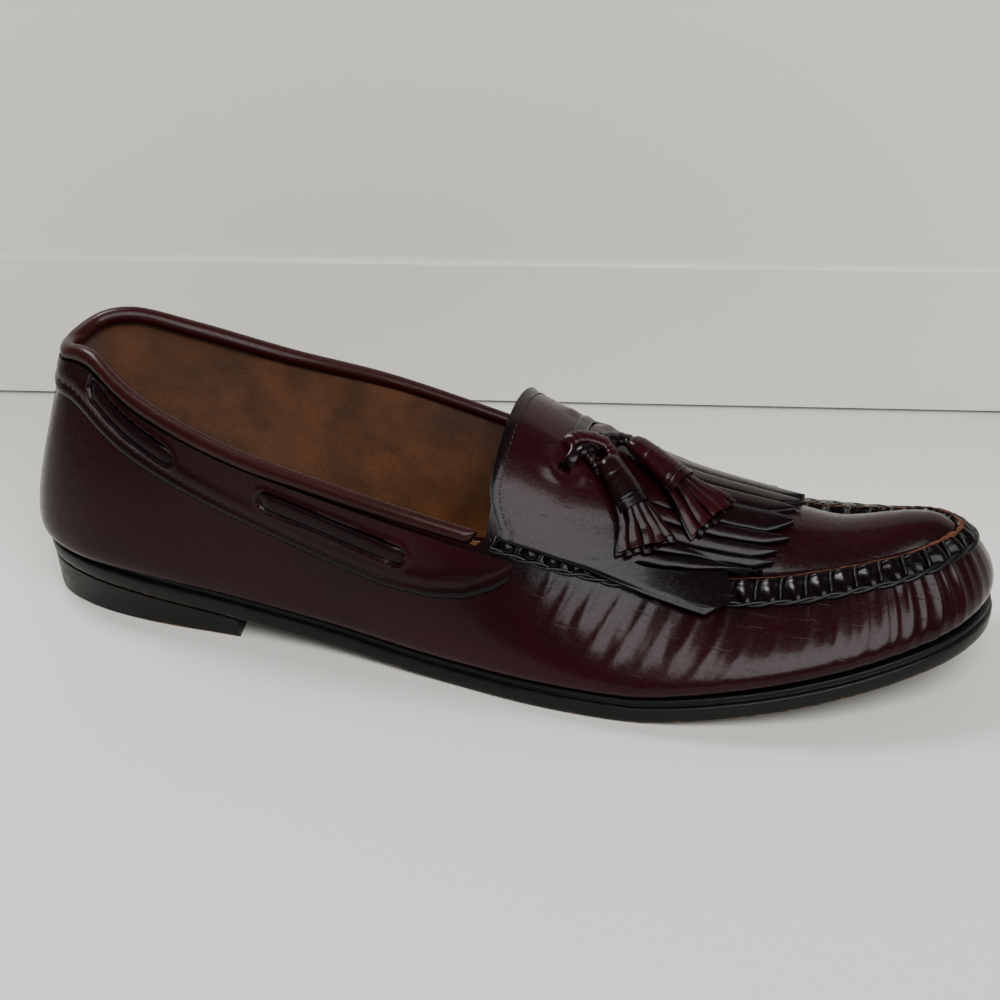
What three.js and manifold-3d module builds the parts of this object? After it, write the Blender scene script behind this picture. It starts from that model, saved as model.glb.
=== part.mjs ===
// Tassel loafer, right shoe: a moccasin with a fringed kiltie and two tassels on a leather sole.
// Millimetres. The toe points along +X, the outer side is -Y, and the shoe stands on z = 0.
// Every curved piece is placed by two numbers on the last: a station and a share of the wall or apron.

import * as THREE from 'three';
import { mergeVertices } from 'three/addons/utils/BufferGeometryUtils.js';
import Module from 'manifold-3d';

const wasm = await Module();
wasm.setup();

// Driving sizes of the last and the sole
const SHOE_LENGTH = 300;
const BALL_WIDTH = 105;
const HEEL_HEIGHT = 12.7;
const TOE_SPRING = 14.5;
const OUTSOLE_THICKNESS = 5.2;
const MIDSOLE_THICKNESS = 2.2;
const INSOLE_THICKNESS = 2;
const SOLE_LEDGE = 5;
const EDGE_TAPER = 0.6;
const HEEL_TAPER = 1.6;
const BREAST_STATION = 4.05;
const BREAST_CURVE = 3;

// Driving sizes of the upper
const UPPER_HEIGHT = 59.3;
const WALL_THICKNESS = 2.2;
const APRON_THICKNESS = 2;
const WALL_SWELL = 5.2;
const SWELL_HEIGHT = 13.6;
const INSTEP_LEAN = 18.5;
const INSTEP_CROWN = 25.5;
const SEAM_DROP = 4;
const SEAM_WIDTH = 5.6;
const THROAT_STATION = 6.46;

// Driving sizes of what is sewn on the upper
const JOINT_GAP = 0.3;
const ROLL_RADIUS = 2.9;
const ROLL_END_RADIUS = 2.3;
const BAND_THICKNESS = 1.2;
const THONG_WIDTH = 5;
const THONG_THICKNESS = 1.2;
const SLOT_LENGTH = 3;
const BACK_SEAM_WIDTH = 4.4;
const BACK_SEAM_THICKNESS = 1;
const BACK_SEAM_FOOT = 0.06;
const KILTIE_THICKNESS = 1.6;
const KILTIE_LIFT = 0.8;
const KILTIE_SKIRT = 8.8;
const SLIT_WIDTH = 0.8;
const LACE_WIDTH = 3.6;
const LACE_THICKNESS = 1.2;
const KNOT_SIZE = 8;
const TASSEL_CAP_WIDTH = 9;
const TASSEL_CAP_DEPTH = 6.4;
const TASSEL_FLARE = 19;
const TASSEL_STRIPS = 5;
const STRIP_THICKNESS = 1.1;

// How finely the curved pieces are faceted
const STEPS_PER_SECTION = 3;
const WALL_STEPS = 5;
const APRON_STEPS = 10;
const BEAD_SIDES = 8;

// The last, a row for each section from heel to toe. Each length is a share of a size above:
// along of the length, lateral and medial of the ball width, heel and toe of the sole's rise there,
// ledge of the sole ledge, swell and swellUp of the wall's swelling, lean of the instep lean,
// up of the upper height, medialLean and medialUp what the inner side has more than the outer.
const COLUMNS = ['along', 'lateral', 'medial', 'heel', 'toe', 'ledge', 'swell', 'swellUp',
  'lean', 'up', 'medialLean', 'medialUp'];
const SECTIONS = [
  [0.000, 0.000, 0.000, 1.00, 0.00, 0.20, 0.50, 1.00, 0.65, 1.03, 0.00, 0.00],
  [0.022, 0.172, 0.175, 0.98, 0.00, 0.20, 0.46, 1.00, 0.66, 1.05, -0.03, 0.03],
  [0.075, 0.272, 0.268, 0.91, 0.00, 0.24, 0.46, 0.95, 0.69, 1.07, -0.10, 0.04],
  [0.150, 0.326, 0.310, 0.80, 0.00, 0.30, 0.54, 0.91, 0.40, 0.95, -0.03, 0.07],
  [0.250, 0.348, 0.307, 0.56, 0.00, 0.40, 0.65, 0.82, 0.08, 0.85, -0.06, 0.07],
  [0.360, 0.370, 0.293, 0.23, 0.00, 0.50, 0.87, 0.77, -0.04, 0.80, -0.09, 0.09],
  [0.470, 0.430, 0.325, 0.02, 0.00, 0.70, 0.96, 0.68, 0.12, 0.73, -0.05, 0.07],
  [0.580, 0.497, 0.400, 0.00, 0.00, 0.90, 0.96, 0.59, 0.50, 0.61, -0.02, 0.02],
  [0.680, 0.517, 0.467, 0.00, 0.00, 1.00, 0.98, 0.55, 0.88, 0.50, 0.00, 0.00],
  [0.780, 0.480, 0.489, 0.00, 0.24, 1.00, 0.98, 0.55, 0.95, 0.40, 0.03, 0.00],
  [0.870, 0.397, 0.434, 0.00, 0.55, 1.00, 1.04, 0.55, 0.83, 0.37, 0.15, -0.02],
  [0.945, 0.266, 0.325, 0.00, 0.84, 1.00, 1.06, 0.55, 0.54, 0.37, 0.23, -0.02],
  [0.985, 0.126, 0.190, 0.00, 0.97, 1.00, 0.92, 0.55, 0.37, 0.37, 0.06, -0.01],
  [1.000, -0.032, 0.032, 0.00, 1.00, 1.00, 0.85, 0.55, 0.25, 0.37, 0.00, 0.00],
];
const TOE = SECTIONS.length - 1;
const RING = 2 * TOE;

// The apron's crown, as a share of the instep crown, and how far it lies under the seam's crest
const CROWN = [[6, 1], [7, 0.78], [8, 0.7], [9, 0.59], [10, 0.45], [11, 0.35], [12, 0.22], [12.6, 0.09],
  [13, 0]];
const ROUNDNESS = [[6, 0.62], [9, 0.8], [12, 0.9]];
const DROP = [[6.3, 0], [8, 0.5], [9.5, 1], [11.5, 0.85], [13, 0.5]];

// The collar band's lower edge, as a share of the wall, by station
const BAND_EDGE = [[0, 0.9], [1.65, 0.874], [3.2, 0.81], [4.4, 0.755], [5.1, 0.715], [5.6, 0.697],
  [6.05, 0.713], [6.35, 0.75], [6.6, 0.82], [6.72, 0.87]];
const BAND_END = 6.72;

// The flat thong's line, in thong widths under the collar's crest, and the stations of its slots
const THONG_LINE = [[2.1, 1.76], [3.5, 2.4], [4.4, 2.36], [5.8, 2.74]];
const THONG_SLOTS = { rear: [2.1, 3.5], front: [4.4, 5.8] };

// The kiltie: the slits between its strips as shares of the apron, where the strips' tips lie,
// the station where the slits begin, and how far its side skirt hangs over the seam
const KILTIE_BACK = 6.43;
const KILTIE_ROOT = 7.85;
const CORNER_ROUNDING = 0.14;
const HALF_SLITS = [0.02, 0.062, 0.115, 0.18, 0.25, 0.39];
const STRIP_TIPS = [[0, 9.2], [0.034, 9.26], [0.09, 9.36], [0.14, 9.43], [0.22, 9.51], [0.5, 9.53]];
const SKIRT_REACH = [[6.43, 0.03], [6.9, 0.04], [7.1, 0.08], [7.4, 0.12], [7.7, 0.2], [8, 0.27], [8.3, 0.34],
  [8.66, 0.44], [8.97, 0.42]];
const SKIRT_TIPS = [8.66, 8.95, 8.92, 8.9, 8.87];
// How far inside the seam the kiltie leaves the apron to climb it, in seam widths
const DRAPE = [[8.2, 1.1], [9.2, 0.4]];

// Where the lace and the tassels lie on the kiltie, as stations and shares of the apron
const LACE_STATION = 6.96;
const KNOT_PLACE = [7.12, 0.47];
const TASSEL_NEAR = { from: [7.2, 0.34], to: [8.0, 0.05] };
const TASSEL_FAR = { from: [7.36, 0.52], to: [8.56, 0.25] };

// Numbers along a table, a ring of sections and smooth steps

function along(table, t) {
  const last = table.length - 1;
  if (t <= table[0][0]) return table[0][1];
  if (t >= table[last][0]) return table[last][1];
  const i = table.findIndex((row) => row[0] > t);
  const share = (t - table[i - 1][0]) / (table[i][0] - table[i - 1][0]);
  return table[i - 1][1] + share * (table[i][1] - table[i - 1][1]);
}

function ring(lateral, medial = lateral) {
  return [...lateral, ...medial.slice(1, -1).reverse()];
}

function spline(values, t) {
  const n = values.length;
  const i = Math.floor(t);
  const f = t - i;
  const [a, b, c, d] = [-1, 0, 1, 2].map((step) => values[(((i + step) % n) + n) % n]);
  const square = 2 * a - 5 * b + 4 * c - d;
  const cube = 3 * b - a - 3 * c + d;
  return 0.5 * (2 * b + (c - a) * f + square * f ** 2 + cube * f ** 3);
}

function smooth(share) {
  const s = Math.min(Math.max(share, 0), 1);
  return s * s * (3 - 2 * s);
}

// The last's own curves. A station runs 0 at the heel, up the outer side to the toe, and back.

const section = Object.fromEntries(COLUMNS.map((name, i) => [name, SECTIONS.map((row) => row[i])]));
const plus = (a, b) => a.map((value, i) => value + b[i]);
const ringX = ring(section.along.map((share) => (share - 0.5) * SHOE_LENGTH));
const ringY = ring(
  section.lateral.map((share) => -share * BALL_WIDTH),
  section.medial.map((share) => share * BALL_WIDTH),
);
const ringLean = ring(section.lean, plus(section.lean, section.medialLean));
const ringUp = ring(section.up, plus(section.up, section.medialUp));
const EVEN_COLUMNS = ['heel', 'toe', 'ledge', 'swell', 'swellUp'];
const rings = Object.fromEntries(EVEN_COLUMNS.map((name) => [name, ring(section[name])]));

function soleBottom(t) {
  const rise = spline(rings.heel, t) * HEEL_HEIGHT + spline(rings.toe, t) * TOE_SPRING;
  return Math.max(rise, 0);
}

function footLine(t) {
  return soleBottom(t) + OUTSOLE_THICKNESS + MIDSOLE_THICKNESS + 2 * JOINT_GAP;
}

const ledge = (t) => spline(rings.ledge, t) * SOLE_LEDGE;

// The sole's edge in plan, with its outward direction
function outline(t) {
  const step = 0.001;
  const dx = spline(ringX, t + step) - spline(ringX, t - step);
  const dy = spline(ringY, t + step) - spline(ringY, t - step);
  const size = Math.hypot(dx, dy);
  return { x: spline(ringX, t), y: spline(ringY, t), outX: dy / size, outY: -dx / size };
}

function outward(t, distance, z) {
  const edge = outline(t);
  return new THREE.Vector3(edge.x + edge.outX * distance, edge.y + edge.outY * distance, z);
}

// The outer face of the wall: a parabola through the foot line, the swelling and the crest
function wall(t, v) {
  const foot = outward(t, -ledge(t), footLine(t));
  const swellOut = spline(rings.swell, t) * WALL_SWELL - ledge(t);
  const swell = outward(t, swellOut, footLine(t) + spline(rings.swellUp, t) * SWELL_HEIGHT);
  const lean = spline(ringLean, t) * INSTEP_LEAN;
  const crest = outward(t, -ledge(t) - lean, footLine(t) + spline(ringUp, t) * UPPER_HEIGHT);
  return foot.multiplyScalar((1 - v) * (1 - 2 * v))
    .addScaledVector(swell, 4 * v * (1 - v))
    .addScaledVector(crest, v * (2 * v - 1));
}

// The direction square to a surface of two numbers, on its outer side
function normal(surface, t, v) {
  const step = 0.001;
  const du = surface(t + step, v).sub(surface(t - step, v));
  const dv = surface(t, v + step).sub(surface(t, v - step));
  return du.cross(dv).normalize();
}

function offWall(t, v, distance) {
  return wall(t, v).addScaledVector(normal(wall, t, v), distance);
}

const crestHeight = (t) => wall(t, 1).z;
const wallHeight = (t) => crestHeight(t) - footLine(t);

// The share of the wall that lies a given depth under its crest
function shareBelow(t, depth) {
  const target = crestHeight(t) - depth;
  let low = 0.4;
  let high = 1;
  for (let turn = 0; turn < 24; turn += 1) {
    const middle = (low + high) / 2;
    if (wall(t, middle).z > target) high = middle;
    else low = middle;
  }
  return low;
}

// The apron's outer face, crowned between the two crests and sunk beneath the seam
const APRON_INSET = SEAM_WIDTH * 0.27;

function apronEdge(t) {
  const edge = outline(t);
  const crest = wall(t, 1);
  crest.x -= edge.outX * APRON_INSET;
  crest.y -= edge.outY * APRON_INSET;
  return crest;
}

const seamDrop = (t) => along(DROP, t) * SEAM_DROP;

function apron(t, w) {
  const arch = Math.max(4 * w * (1 - w), 0) ** along(ROUNDNESS, t);
  const point = apronEdge(t).lerp(apronEdge(RING - t), w);
  point.z += arch * along(CROWN, t) * INSTEP_CROWN - seamDrop(t);
  return point;
}

const apronWidth = (t) => apronEdge(t).distanceTo(apronEdge(RING - t));

// Solids from surfaces. A sheet is a lattice of cells, each with an outer and an inner face,
// closed along every edge where a cell has no neighbour. Ends that meet are welded.

function solidGeometry(points, triangles) {
  const welded = [];
  const keys = new Map();
  const index = points.map((point) => {
    const key = point.toArray().map((value) => Math.round(value * 500)).join(' ');
    if (!keys.has(key)) {
      keys.set(key, welded.length);
      welded.push(point);
    }
    return keys.get(key);
  });
  let volume = 0;
  const kept = [];
  for (const triangle of triangles) {
    const [a, b, c] = triangle.map((corner) => index[corner]);
    if (a === b || b === c || c === a) continue;
    kept.push([a, b, c]);
    volume += welded[a].dot(welded[b].clone().cross(welded[c]));
  }
  const facing = volume < 0 ? kept.map(([a, b, c]) => [a, c, b]) : kept;
  const geometry = new THREE.BufferGeometry();
  geometry.setAttribute('position', new THREE.Float32BufferAttribute(welded.flatMap((p) => p.toArray()), 3));
  geometry.setIndex(facing.flat());
  geometry.computeVertexNormals();
  return geometry;
}

function sheet(rows, cols, place, { has = () => true, weldStart = false, weldEnd = false } = {}) {
  const points = [];
  for (let i = 0; i < rows; i += 1) {
    for (let j = 0; j < cols; j += 1) points.push(...place(i, j));
  }
  const outer = (i, j) => 2 * (i * cols + j);
  const inner = (i, j) => outer(i, j) + 1;
  const filled = (i, j) => i >= 0 && j >= 0 && i < rows - 1 && j < cols - 1 && has(i, j);
  const triangles = [];
  const quad = (a, b, c, d) => triangles.push([a, b, c], [a, c, d]);
  const side = (i, j, k, l) => quad(outer(k, l), inner(k, l), inner(i, j), outer(i, j));
  for (let i = 0; i < rows - 1; i += 1) {
    for (let j = 0; j < cols - 1; j += 1) {
      if (!filled(i, j)) continue;
      quad(outer(i, j), outer(i + 1, j), outer(i + 1, j + 1), outer(i, j + 1));
      quad(inner(i, j), inner(i, j + 1), inner(i + 1, j + 1), inner(i + 1, j));
      if (!filled(i - 1, j) && !(weldStart && i === 0)) side(i, j, i, j + 1);
      if (!filled(i + 1, j) && !(weldEnd && i === rows - 2)) side(i + 1, j + 1, i + 1, j);
      if (!filled(i, j - 1)) side(i + 1, j, i, j);
      if (!filled(i, j + 1)) side(i, j + 1, i + 1, j + 1);
    }
  }
  return solidGeometry(points, triangles);
}

// A solid through rings of points, each ring with the same number of them, closed at both ends
function loft(sections) {
  const sides = sections[0].length;
  const points = sections.flat();
  const triangles = [];
  for (let i = 0; i < sections.length - 1; i += 1) {
    for (let k = 0; k < sides; k += 1) {
      const a = i * sides + k;
      const b = i * sides + (k + 1) % sides;
      triangles.push([a, b, b + sides], [a, b + sides, a + sides]);
    }
  }
  const end = (sections.length - 1) * sides;
  for (let k = 1; k < sides - 1; k += 1) {
    triangles.push([0, k + 1, k], [end, end + k, end + k + 1]);
  }
  return solidGeometry(points, triangles);
}

function joined(geometries) {
  const solids = geometries.map((geometry) => {
    const plain = geometry.clone();
    plain.deleteAttribute('normal');
    const merged = mergeVertices(plain, 0.001);
    return new wasm.Manifold(new wasm.Mesh({
      numProp: 3,
      vertProperties: merged.attributes.position.array,
      triVerts: Uint32Array.from(merged.index.array),
    }));
  });
  const mesh = solids.reduce((whole, solid) => whole.add(solid)).getMesh();
  const geometry = new THREE.BufferGeometry();
  geometry.setAttribute('position', new THREE.Float32BufferAttribute(mesh.vertProperties, 3));
  geometry.setIndex(Array.from(mesh.triVerts));
  geometry.computeVertexNormals();
  return geometry;
}

function stations(from, to, steps = STEPS_PER_SECTION) {
  const count = Math.max(Math.round((to - from) * steps), 1);
  return Array.from({ length: count + 1 }, (_, i) => from + (to - from) * i / count);
}

// The sole: plates between the outer and the inner edge of the last, heel to toe

function plate(rows, { inset, insetBelow = inset, top, bottom, bow = () => 0 }) {
  const across = 4;
  const place = (i, j) => {
    const t = rows[i];
    const at = (edgeInset, z) => {
      const point = outward(t, -edgeInset(t), z).lerp(outward(RING - t, -edgeInset(RING - t), z), j / across);
      point.x -= bow(t) * 4 * (j / across) * (1 - j / across);
      return point;
    };
    return [at(inset, top(t)), at(insetBelow, bottom(t))];
  };
  return sheet(rows.length, across + 1, place);
}

const soleRows = stations(0, TOE);

const outsole = plate(soleRows, {
  inset: () => 0,
  insetBelow: () => EDGE_TAPER,
  top: (t) => soleBottom(t) + OUTSOLE_THICKNESS,
  bottom: soleBottom,
});

const midsole = plate(soleRows, {
  inset: () => EDGE_TAPER,
  top: (t) => footLine(t) - JOINT_GAP,
  bottom: (t) => footLine(t) - JOINT_GAP - MIDSOLE_THICKNESS,
});

const heel = plate(stations(0, BREAST_STATION), {
  inset: () => EDGE_TAPER,
  insetBelow: () => HEEL_TAPER,
  top: (t) => soleBottom(t) - JOINT_GAP,
  bottom: () => 0,
  bow: (t) => BREAST_CURVE * smooth(t - BREAST_STATION + 1),
});

const insole = plate(soleRows, {
  inset: (t) => ledge(t) + WALL_THICKNESS + JOINT_GAP,
  top: (t) => footLine(t) + INSOLE_THICKNESS,
  bottom: footLine,
});

// The upper: wall, seam ridge and apron in one hollow shell, open at the collar and underneath

const RIM_DEPTH = 2 * ROLL_RADIUS + JOINT_GAP;
const RIM_END = THROAT_STATION - 0.06;
const SEAM_STEP = 0.25;

function rimShare(t) {
  const nearest = Math.min(t, RING - t);
  return nearest < THROAT_STATION ? shareBelow(t, RIM_DEPTH) : shareBelow(t, SEAM_WIDTH * SEAM_STEP);
}

// The seam's ridge stands over the wall's crest: out, top out, top in, and its foot on the apron
function ridgeOuter(t, w, place) {
  const crest = wall(t, 1);
  const foot = apron(Math.min(t, RING - t), w);
  const edge = outline(t);
  const inward = (distance, z) => new THREE.Vector3(
    crest.x - edge.outX * distance, crest.y - edge.outY * distance, z);
  const flank = Math.max(crest.z - SEAM_WIDTH * 0.04, (2 * crest.z + foot.z) / 3);
  return [
    inward(-SEAM_WIDTH * 0.2, crest.z - SEAM_WIDTH * 0.12),
    inward(0, crest.z + SEAM_WIDTH * 0.03),
    inward(SEAM_WIDTH * 0.45, flank),
    foot,
  ][place];
}

const upperRows = [...stations(0, 6.2), RIM_END, THROAT_STATION, ...stations(20 / 3, TOE)];
const wallCols = WALL_STEPS + 1;
const ridgeCols = 4;
const sideCols = wallCols + ridgeCols;
const upperCols = 2 * sideCols + APRON_STEPS - 1;

// The share of the apron that the seam covers on either side
const seamShare = (t) => Math.min((SEAM_WIDTH * 0.4) / Math.max(apronWidth(t), 0.001), 0.5);

function upperSide(t, station, j) {
  if (j < wallCols) {
    const v = rimShare(t) * j / WALL_STEPS;
    const outer = wall(t, v);
    const inner = offWall(t, v, -WALL_THICKNESS);
    if (j === 0) inner.copy(outward(t, -ledge(t) - WALL_THICKNESS, outer.z + WALL_THICKNESS / 2));
    return [outer, inner];
  }
  const w = t === station ? seamShare(station) : 1 - seamShare(station);
  const top = offWall(t, rimShare(t), -WALL_THICKNESS);
  const under = apron(station, w).addScaledVector(apronNormal(station, w), -APRON_THICKNESS);
  return [ridgeOuter(t, w, j - wallCols), top.lerp(under, (j - wallCols + 1) / ridgeCols)];
}

// At the toe the apron runs out to nothing, so its direction there is taken a little before
function apronNormal(t, w) {
  const safe = Math.min(t, TOE - 0.12);
  return normal(apron, safe, Math.min(Math.max(w, 0.02), 0.98));
}

function placeUpper(i, j) {
  const t = upperRows[i];
  if (j < sideCols) return upperSide(t, t, j);
  if (j >= upperCols - sideCols) return upperSide(RING - t, t, upperCols - 1 - j);
  const start = seamShare(t);
  const w = start + (1 - 2 * start) * (j - sideCols + 1) / APRON_STEPS;
  const outer = apron(t, w);
  return [outer, outer.clone().addScaledVector(apronNormal(t, w), -APRON_THICKNESS)];
}

const upper = sheet(upperRows.length, upperCols, placeUpper, {
  has: (i, j) => upperRows[i] >= THROAT_STATION || j < wallCols - 1 || j >= upperCols - wallCols,
  weldStart: true,
  weldEnd: true,
});

// The collar: a rolled bead on the rim, a band sewn round it, flat thongs through slots in the band

const BEAD_END = RIM_END - 0.03;

const collarRoll = loft(stations(-BEAD_END, BEAD_END).map((t) => {
  const fade = smooth((Math.abs(t) - 3) / (BEAD_END - 3));
  const radius = ROLL_RADIUS + (ROLL_END_RADIUS - ROLL_RADIUS) * fade;
  const edge = outline(t);
  const crest = wall(t, 1);
  return Array.from({ length: BEAD_SIDES }, (_, k) => {
    const angle = 2 * Math.PI * (k + 0.5) / BEAD_SIDES;
    const out = radius * Math.cos(angle);
    return new THREE.Vector3(crest.x + edge.outX * out, crest.y + edge.outY * out,
      crest.z - radius + radius * Math.sin(angle));
  });
}));

const thongDepth = (t) => along(THONG_LINE, Math.abs(t)) * THONG_WIDTH;
const sectionLength = (t) => wall(t + 0.5, 0.9).distanceTo(wall(t - 0.5, 0.9));
const slotHalf = (t) => SLOT_LENGTH / 2 / sectionLength(t);
const slotStations = Object.values(THONG_SLOTS).flat();

function bandLines(t) {
  const top = shareBelow(t, RIM_DEPTH);
  return [along(BAND_EDGE, Math.abs(t)), shareBelow(t, thongDepth(t) + THONG_WIDTH * 0.6),
    shareBelow(t, thongDepth(t) - THONG_WIDTH * 0.6), top];
}

function bandRows() {
  const slots = slotStations.flatMap((t) => [t - slotHalf(t), t + slotHalf(t)]);
  const nearSlot = (t) => slots.some((edge) => Math.abs(edge - t) < 0.12);
  const plain = stations(0, 6.6).filter((t) => !nearSlot(t));
  const half = [...plain, ...slots, BAND_END].sort((a, b) => a - b);
  return [...half.slice(1).reverse().map((t) => -t), ...half];
}

const rowsOfBand = bandRows();

const collarBand = sheet(rowsOfBand.length, 4, (i, j) => {
  const t = rowsOfBand[i];
  const lines = bandLines(t);
  const v = Math.max(lines[j], Math.min(lines[0] + 0.01 * j, lines[3]));
  return [offWall(t, v, JOINT_GAP + BAND_THICKNESS), offWall(t, v, JOINT_GAP)];
}, {
  has: (i, j) => {
    const middle = Math.abs(rowsOfBand[i] + rowsOfBand[i + 1]) / 2;
    return j !== 1 || !slotStations.some((t) => Math.abs(t - middle) < slotHalf(t) / 2);
  },
});

// A thong lies on the band between two slots and dips through each to the wall beneath
function thong(from, to, side) {
  const lying = 2 * JOINT_GAP + BAND_THICKNESS;
  const reach = 0.8;
  const rows = [from - slotHalf(from) * reach, from + slotHalf(from), ...stations(from, to).slice(1, -1),
    to - slotHalf(to), to + slotHalf(to) * reach];
  return sheet(rows.length, 2, (i, j) => {
    const t = rows[i];
    const dip = i === 0 || i === rows.length - 1;
    const v = shareBelow(side * t, thongDepth(t) + (0.5 - j) * THONG_WIDTH * (dip ? 0.8 : 1));
    const height = dip ? JOINT_GAP * 1.2 : lying;
    return [offWall(side * t, v, height + THONG_THICKNESS), offWall(side * t, v, height)];
  });
}

// The back seam's strip, from the sole to the band
const backRows = [-1, -0.4, 0.4, 1].map((share) => share * BACK_SEAM_WIDTH / 2 / sectionLength(0));
const backCols = 7;
const backSeam = sheet(backRows.length, backCols, (i, j) => {
  const top = along(BAND_EDGE, 0) - JOINT_GAP / wallHeight(0);
  const v = BACK_SEAM_FOOT + (top - BACK_SEAM_FOOT) * j / (backCols - 1);
  const thickness = BACK_SEAM_THICKNESS * (i % 3 === 0 ? 0.5 : 1);
  return [offWall(backRows[i], v, JOINT_GAP + thickness), offWall(backRows[i], v, JOINT_GAP)];
});

// The kiltie lies on the apron, climbs the seam on both sides and hangs over it as a skirt.
// Its second number is a share of the apron, and beyond 0 and 1 a share of the skirt's length.

const DRAPE_OUT = SEAM_WIDTH * 0.45;

function lyingOnApron(t, c) {
  return apron(t, c).addScaledVector(apronNormal(t, c), KILTIE_LIFT);
}

function hangingBeyondSeam(side, beyond) {
  return offWall(side, 1 - beyond / wallHeight(side), KILTIE_LIFT + SEAM_WIDTH * 0.2);
}

function kiltieUnder(t, c) {
  const side = c < 0.5 ? t : RING - t;
  const width = apronWidth(t);
  const nearest = Math.min(c, 1 - c);
  const inset = nearest * (nearest > 0 ? width : KILTIE_SKIRT);
  const drapeIn = along(DRAPE, t) * SEAM_WIDTH;
  if (inset > drapeIn) return lyingOnApron(t, c);
  if (inset < -DRAPE_OUT) return hangingBeyondSeam(side, -inset);
  const share = (drapeIn - inset) / (drapeIn + DRAPE_OUT);
  const start = lyingOnApron(t, c < 0.5 ? drapeIn / width : 1 - drapeIn / width);
  const end = hangingBeyondSeam(side, DRAPE_OUT);
  const over = apronEdge(side);
  over.z += KILTIE_LIFT + SEAM_WIDTH * 0.6;
  return start.lerp(over, share).lerp(over.lerp(end, share), share);
}

function kiltieNormal(t, c) {
  const step = 0.03;
  const du = kiltieUnder(t + 0.02, c).sub(kiltieUnder(t - 0.02, c));
  const dc = kiltieUnder(t, c + step).sub(kiltieUnder(t, c - step));
  return du.cross(dc).normalize();
}

function onKiltie(t, c, height) {
  return kiltieUnder(t, c).addScaledVector(kiltieNormal(t, c), height);
}

const slits = [...HALF_SLITS, 0.5, ...HALF_SLITS.map((share) => 1 - share).reverse()];
const kiltieBody = [0, 0.16, 0.32, 0.43, 0.62, 0.8, 1];
const kiltieTails = [0.35, 0.7, 0.88, 1];
const kiltieRowCount = kiltieBody.length + kiltieTails.length;

// Each column of the kiltie: which strip it belongs to and its place across that strip
function stripCols(from, strip) {
  return [0, 0.5, 1].map((place) => ({ strip, place, from, to: slits[strip + 1] }));
}

const kiltieCols = [
  ...[0, 1, 2, 3, 4].map((place) => ({ skirt: -1, place })),
  ...slits.slice(0, -1).flatMap(stripCols),
  ...[4, 3, 2, 1, 0].map((place) => ({ skirt: 1, place })),
];

function acrossKiltie(col, t, pinch) {
  const slit = SLIT_WIDTH / 2 / apronWidth(t);
  if (col.skirt) {
    const reach = along(SKIRT_REACH, t);
    const c = [-reach, -reach / 2, -0.01, 0, slits[0] - slit][col.place];
    return col.skirt < 0 ? c : 1 - c;
  }
  const middle = (col.from + col.to) / 2;
  const half = (col.to - col.from) / 2 - slit;
  return middle + (col.place * 2 - 1) * half * pinch;
}

function placeKiltie(i, j) {
  const col = kiltieCols[j];
  const tail = i - kiltieBody.length;
  const last = i === kiltieRowCount - 1;
  const pinch = col.strip !== undefined && last ? 0.3 : 1;
  let t;
  if (tail < 0) {
    const c = acrossKiltie(col, KILTIE_ROOT, 1);
    const inset = Math.min(Math.max(Math.min(c, 1 - c), 0) / 0.12, 1);
    const back = KILTIE_BACK + CORNER_ROUNDING * (1 - smooth(inset)) ** 2;
    t = back + (KILTIE_ROOT - back) * kiltieBody[i];
  } else {
    const middle = (col.from + col.to) / 2;
    const tip = col.skirt ? SKIRT_TIPS[col.place] : along(STRIP_TIPS, Math.min(middle, 1 - middle));
    t = KILTIE_ROOT + (tip - KILTIE_ROOT) * kiltieTails[tail];
  }
  const c = acrossKiltie(col, t, pinch);
  return [onKiltie(t, c, KILTIE_THICKNESS), kiltieUnder(t, c)];
}

const HOLE_ROW = 2;
const HOLE_STRIPS = [4, slits.length - 6];

function kiltieHas(i, j) {
  const a = kiltieCols[j];
  const b = kiltieCols[j + 1];
  const slit = a.skirt !== b.skirt || a.strip !== b.strip;
  const hole = i === HOLE_ROW && HOLE_STRIPS.some((strip) => a.strip === strip && b.strip === strip
    && (strip < slits.length / 2 ? a.place === 0 : a.place === 0.5));
  return hole ? false : !slit || i < kiltieBody.length - 1;
}

const kiltie = sheet(kiltieRowCount, kiltieCols.length, placeKiltie, { has: kiltieHas });

// The lace and the tassels are drawn on the kiltie: ahead and sideways along it, and up from it

function frameAt(t, c) {
  const step = 0.02;
  const ahead = onKiltie(t + step, c, 0).sub(onKiltie(t - step, c, 0)).length() / (2 * step);
  const sideways = onKiltie(t, c + step, 0).sub(onKiltie(t, c - step, 0)).length() / (2 * step);
  return { ahead, sideways };
}

// A point a given way along a line on the kiltie, to one side of it and over the kiltie's face
function offLine(line, share, aside, height) {
  const t = line.from[0] + (line.to[0] - line.from[0]) * share;
  const c = line.from[1] + (line.to[1] - line.from[1]) * share;
  const scale = frameAt(t, c);
  const runT = (line.to[0] - line.from[0]) * scale.ahead;
  const runC = (line.to[1] - line.from[1]) * scale.sideways;
  const length = Math.hypot(runT, runC);
  const shiftT = -aside * runC / length / scale.ahead;
  const shiftC = aside * runT / length / scale.sideways;
  return onKiltie(t + shiftT, c + shiftC, KILTIE_THICKNESS + height);
}

// A sheet's cell on the kiltie, from its underside up through its own thickness
function layer(line, share, aside, height, thickness) {
  return [offLine(line, share, aside, height + thickness), offLine(line, share, aside, height)];
}

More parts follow.
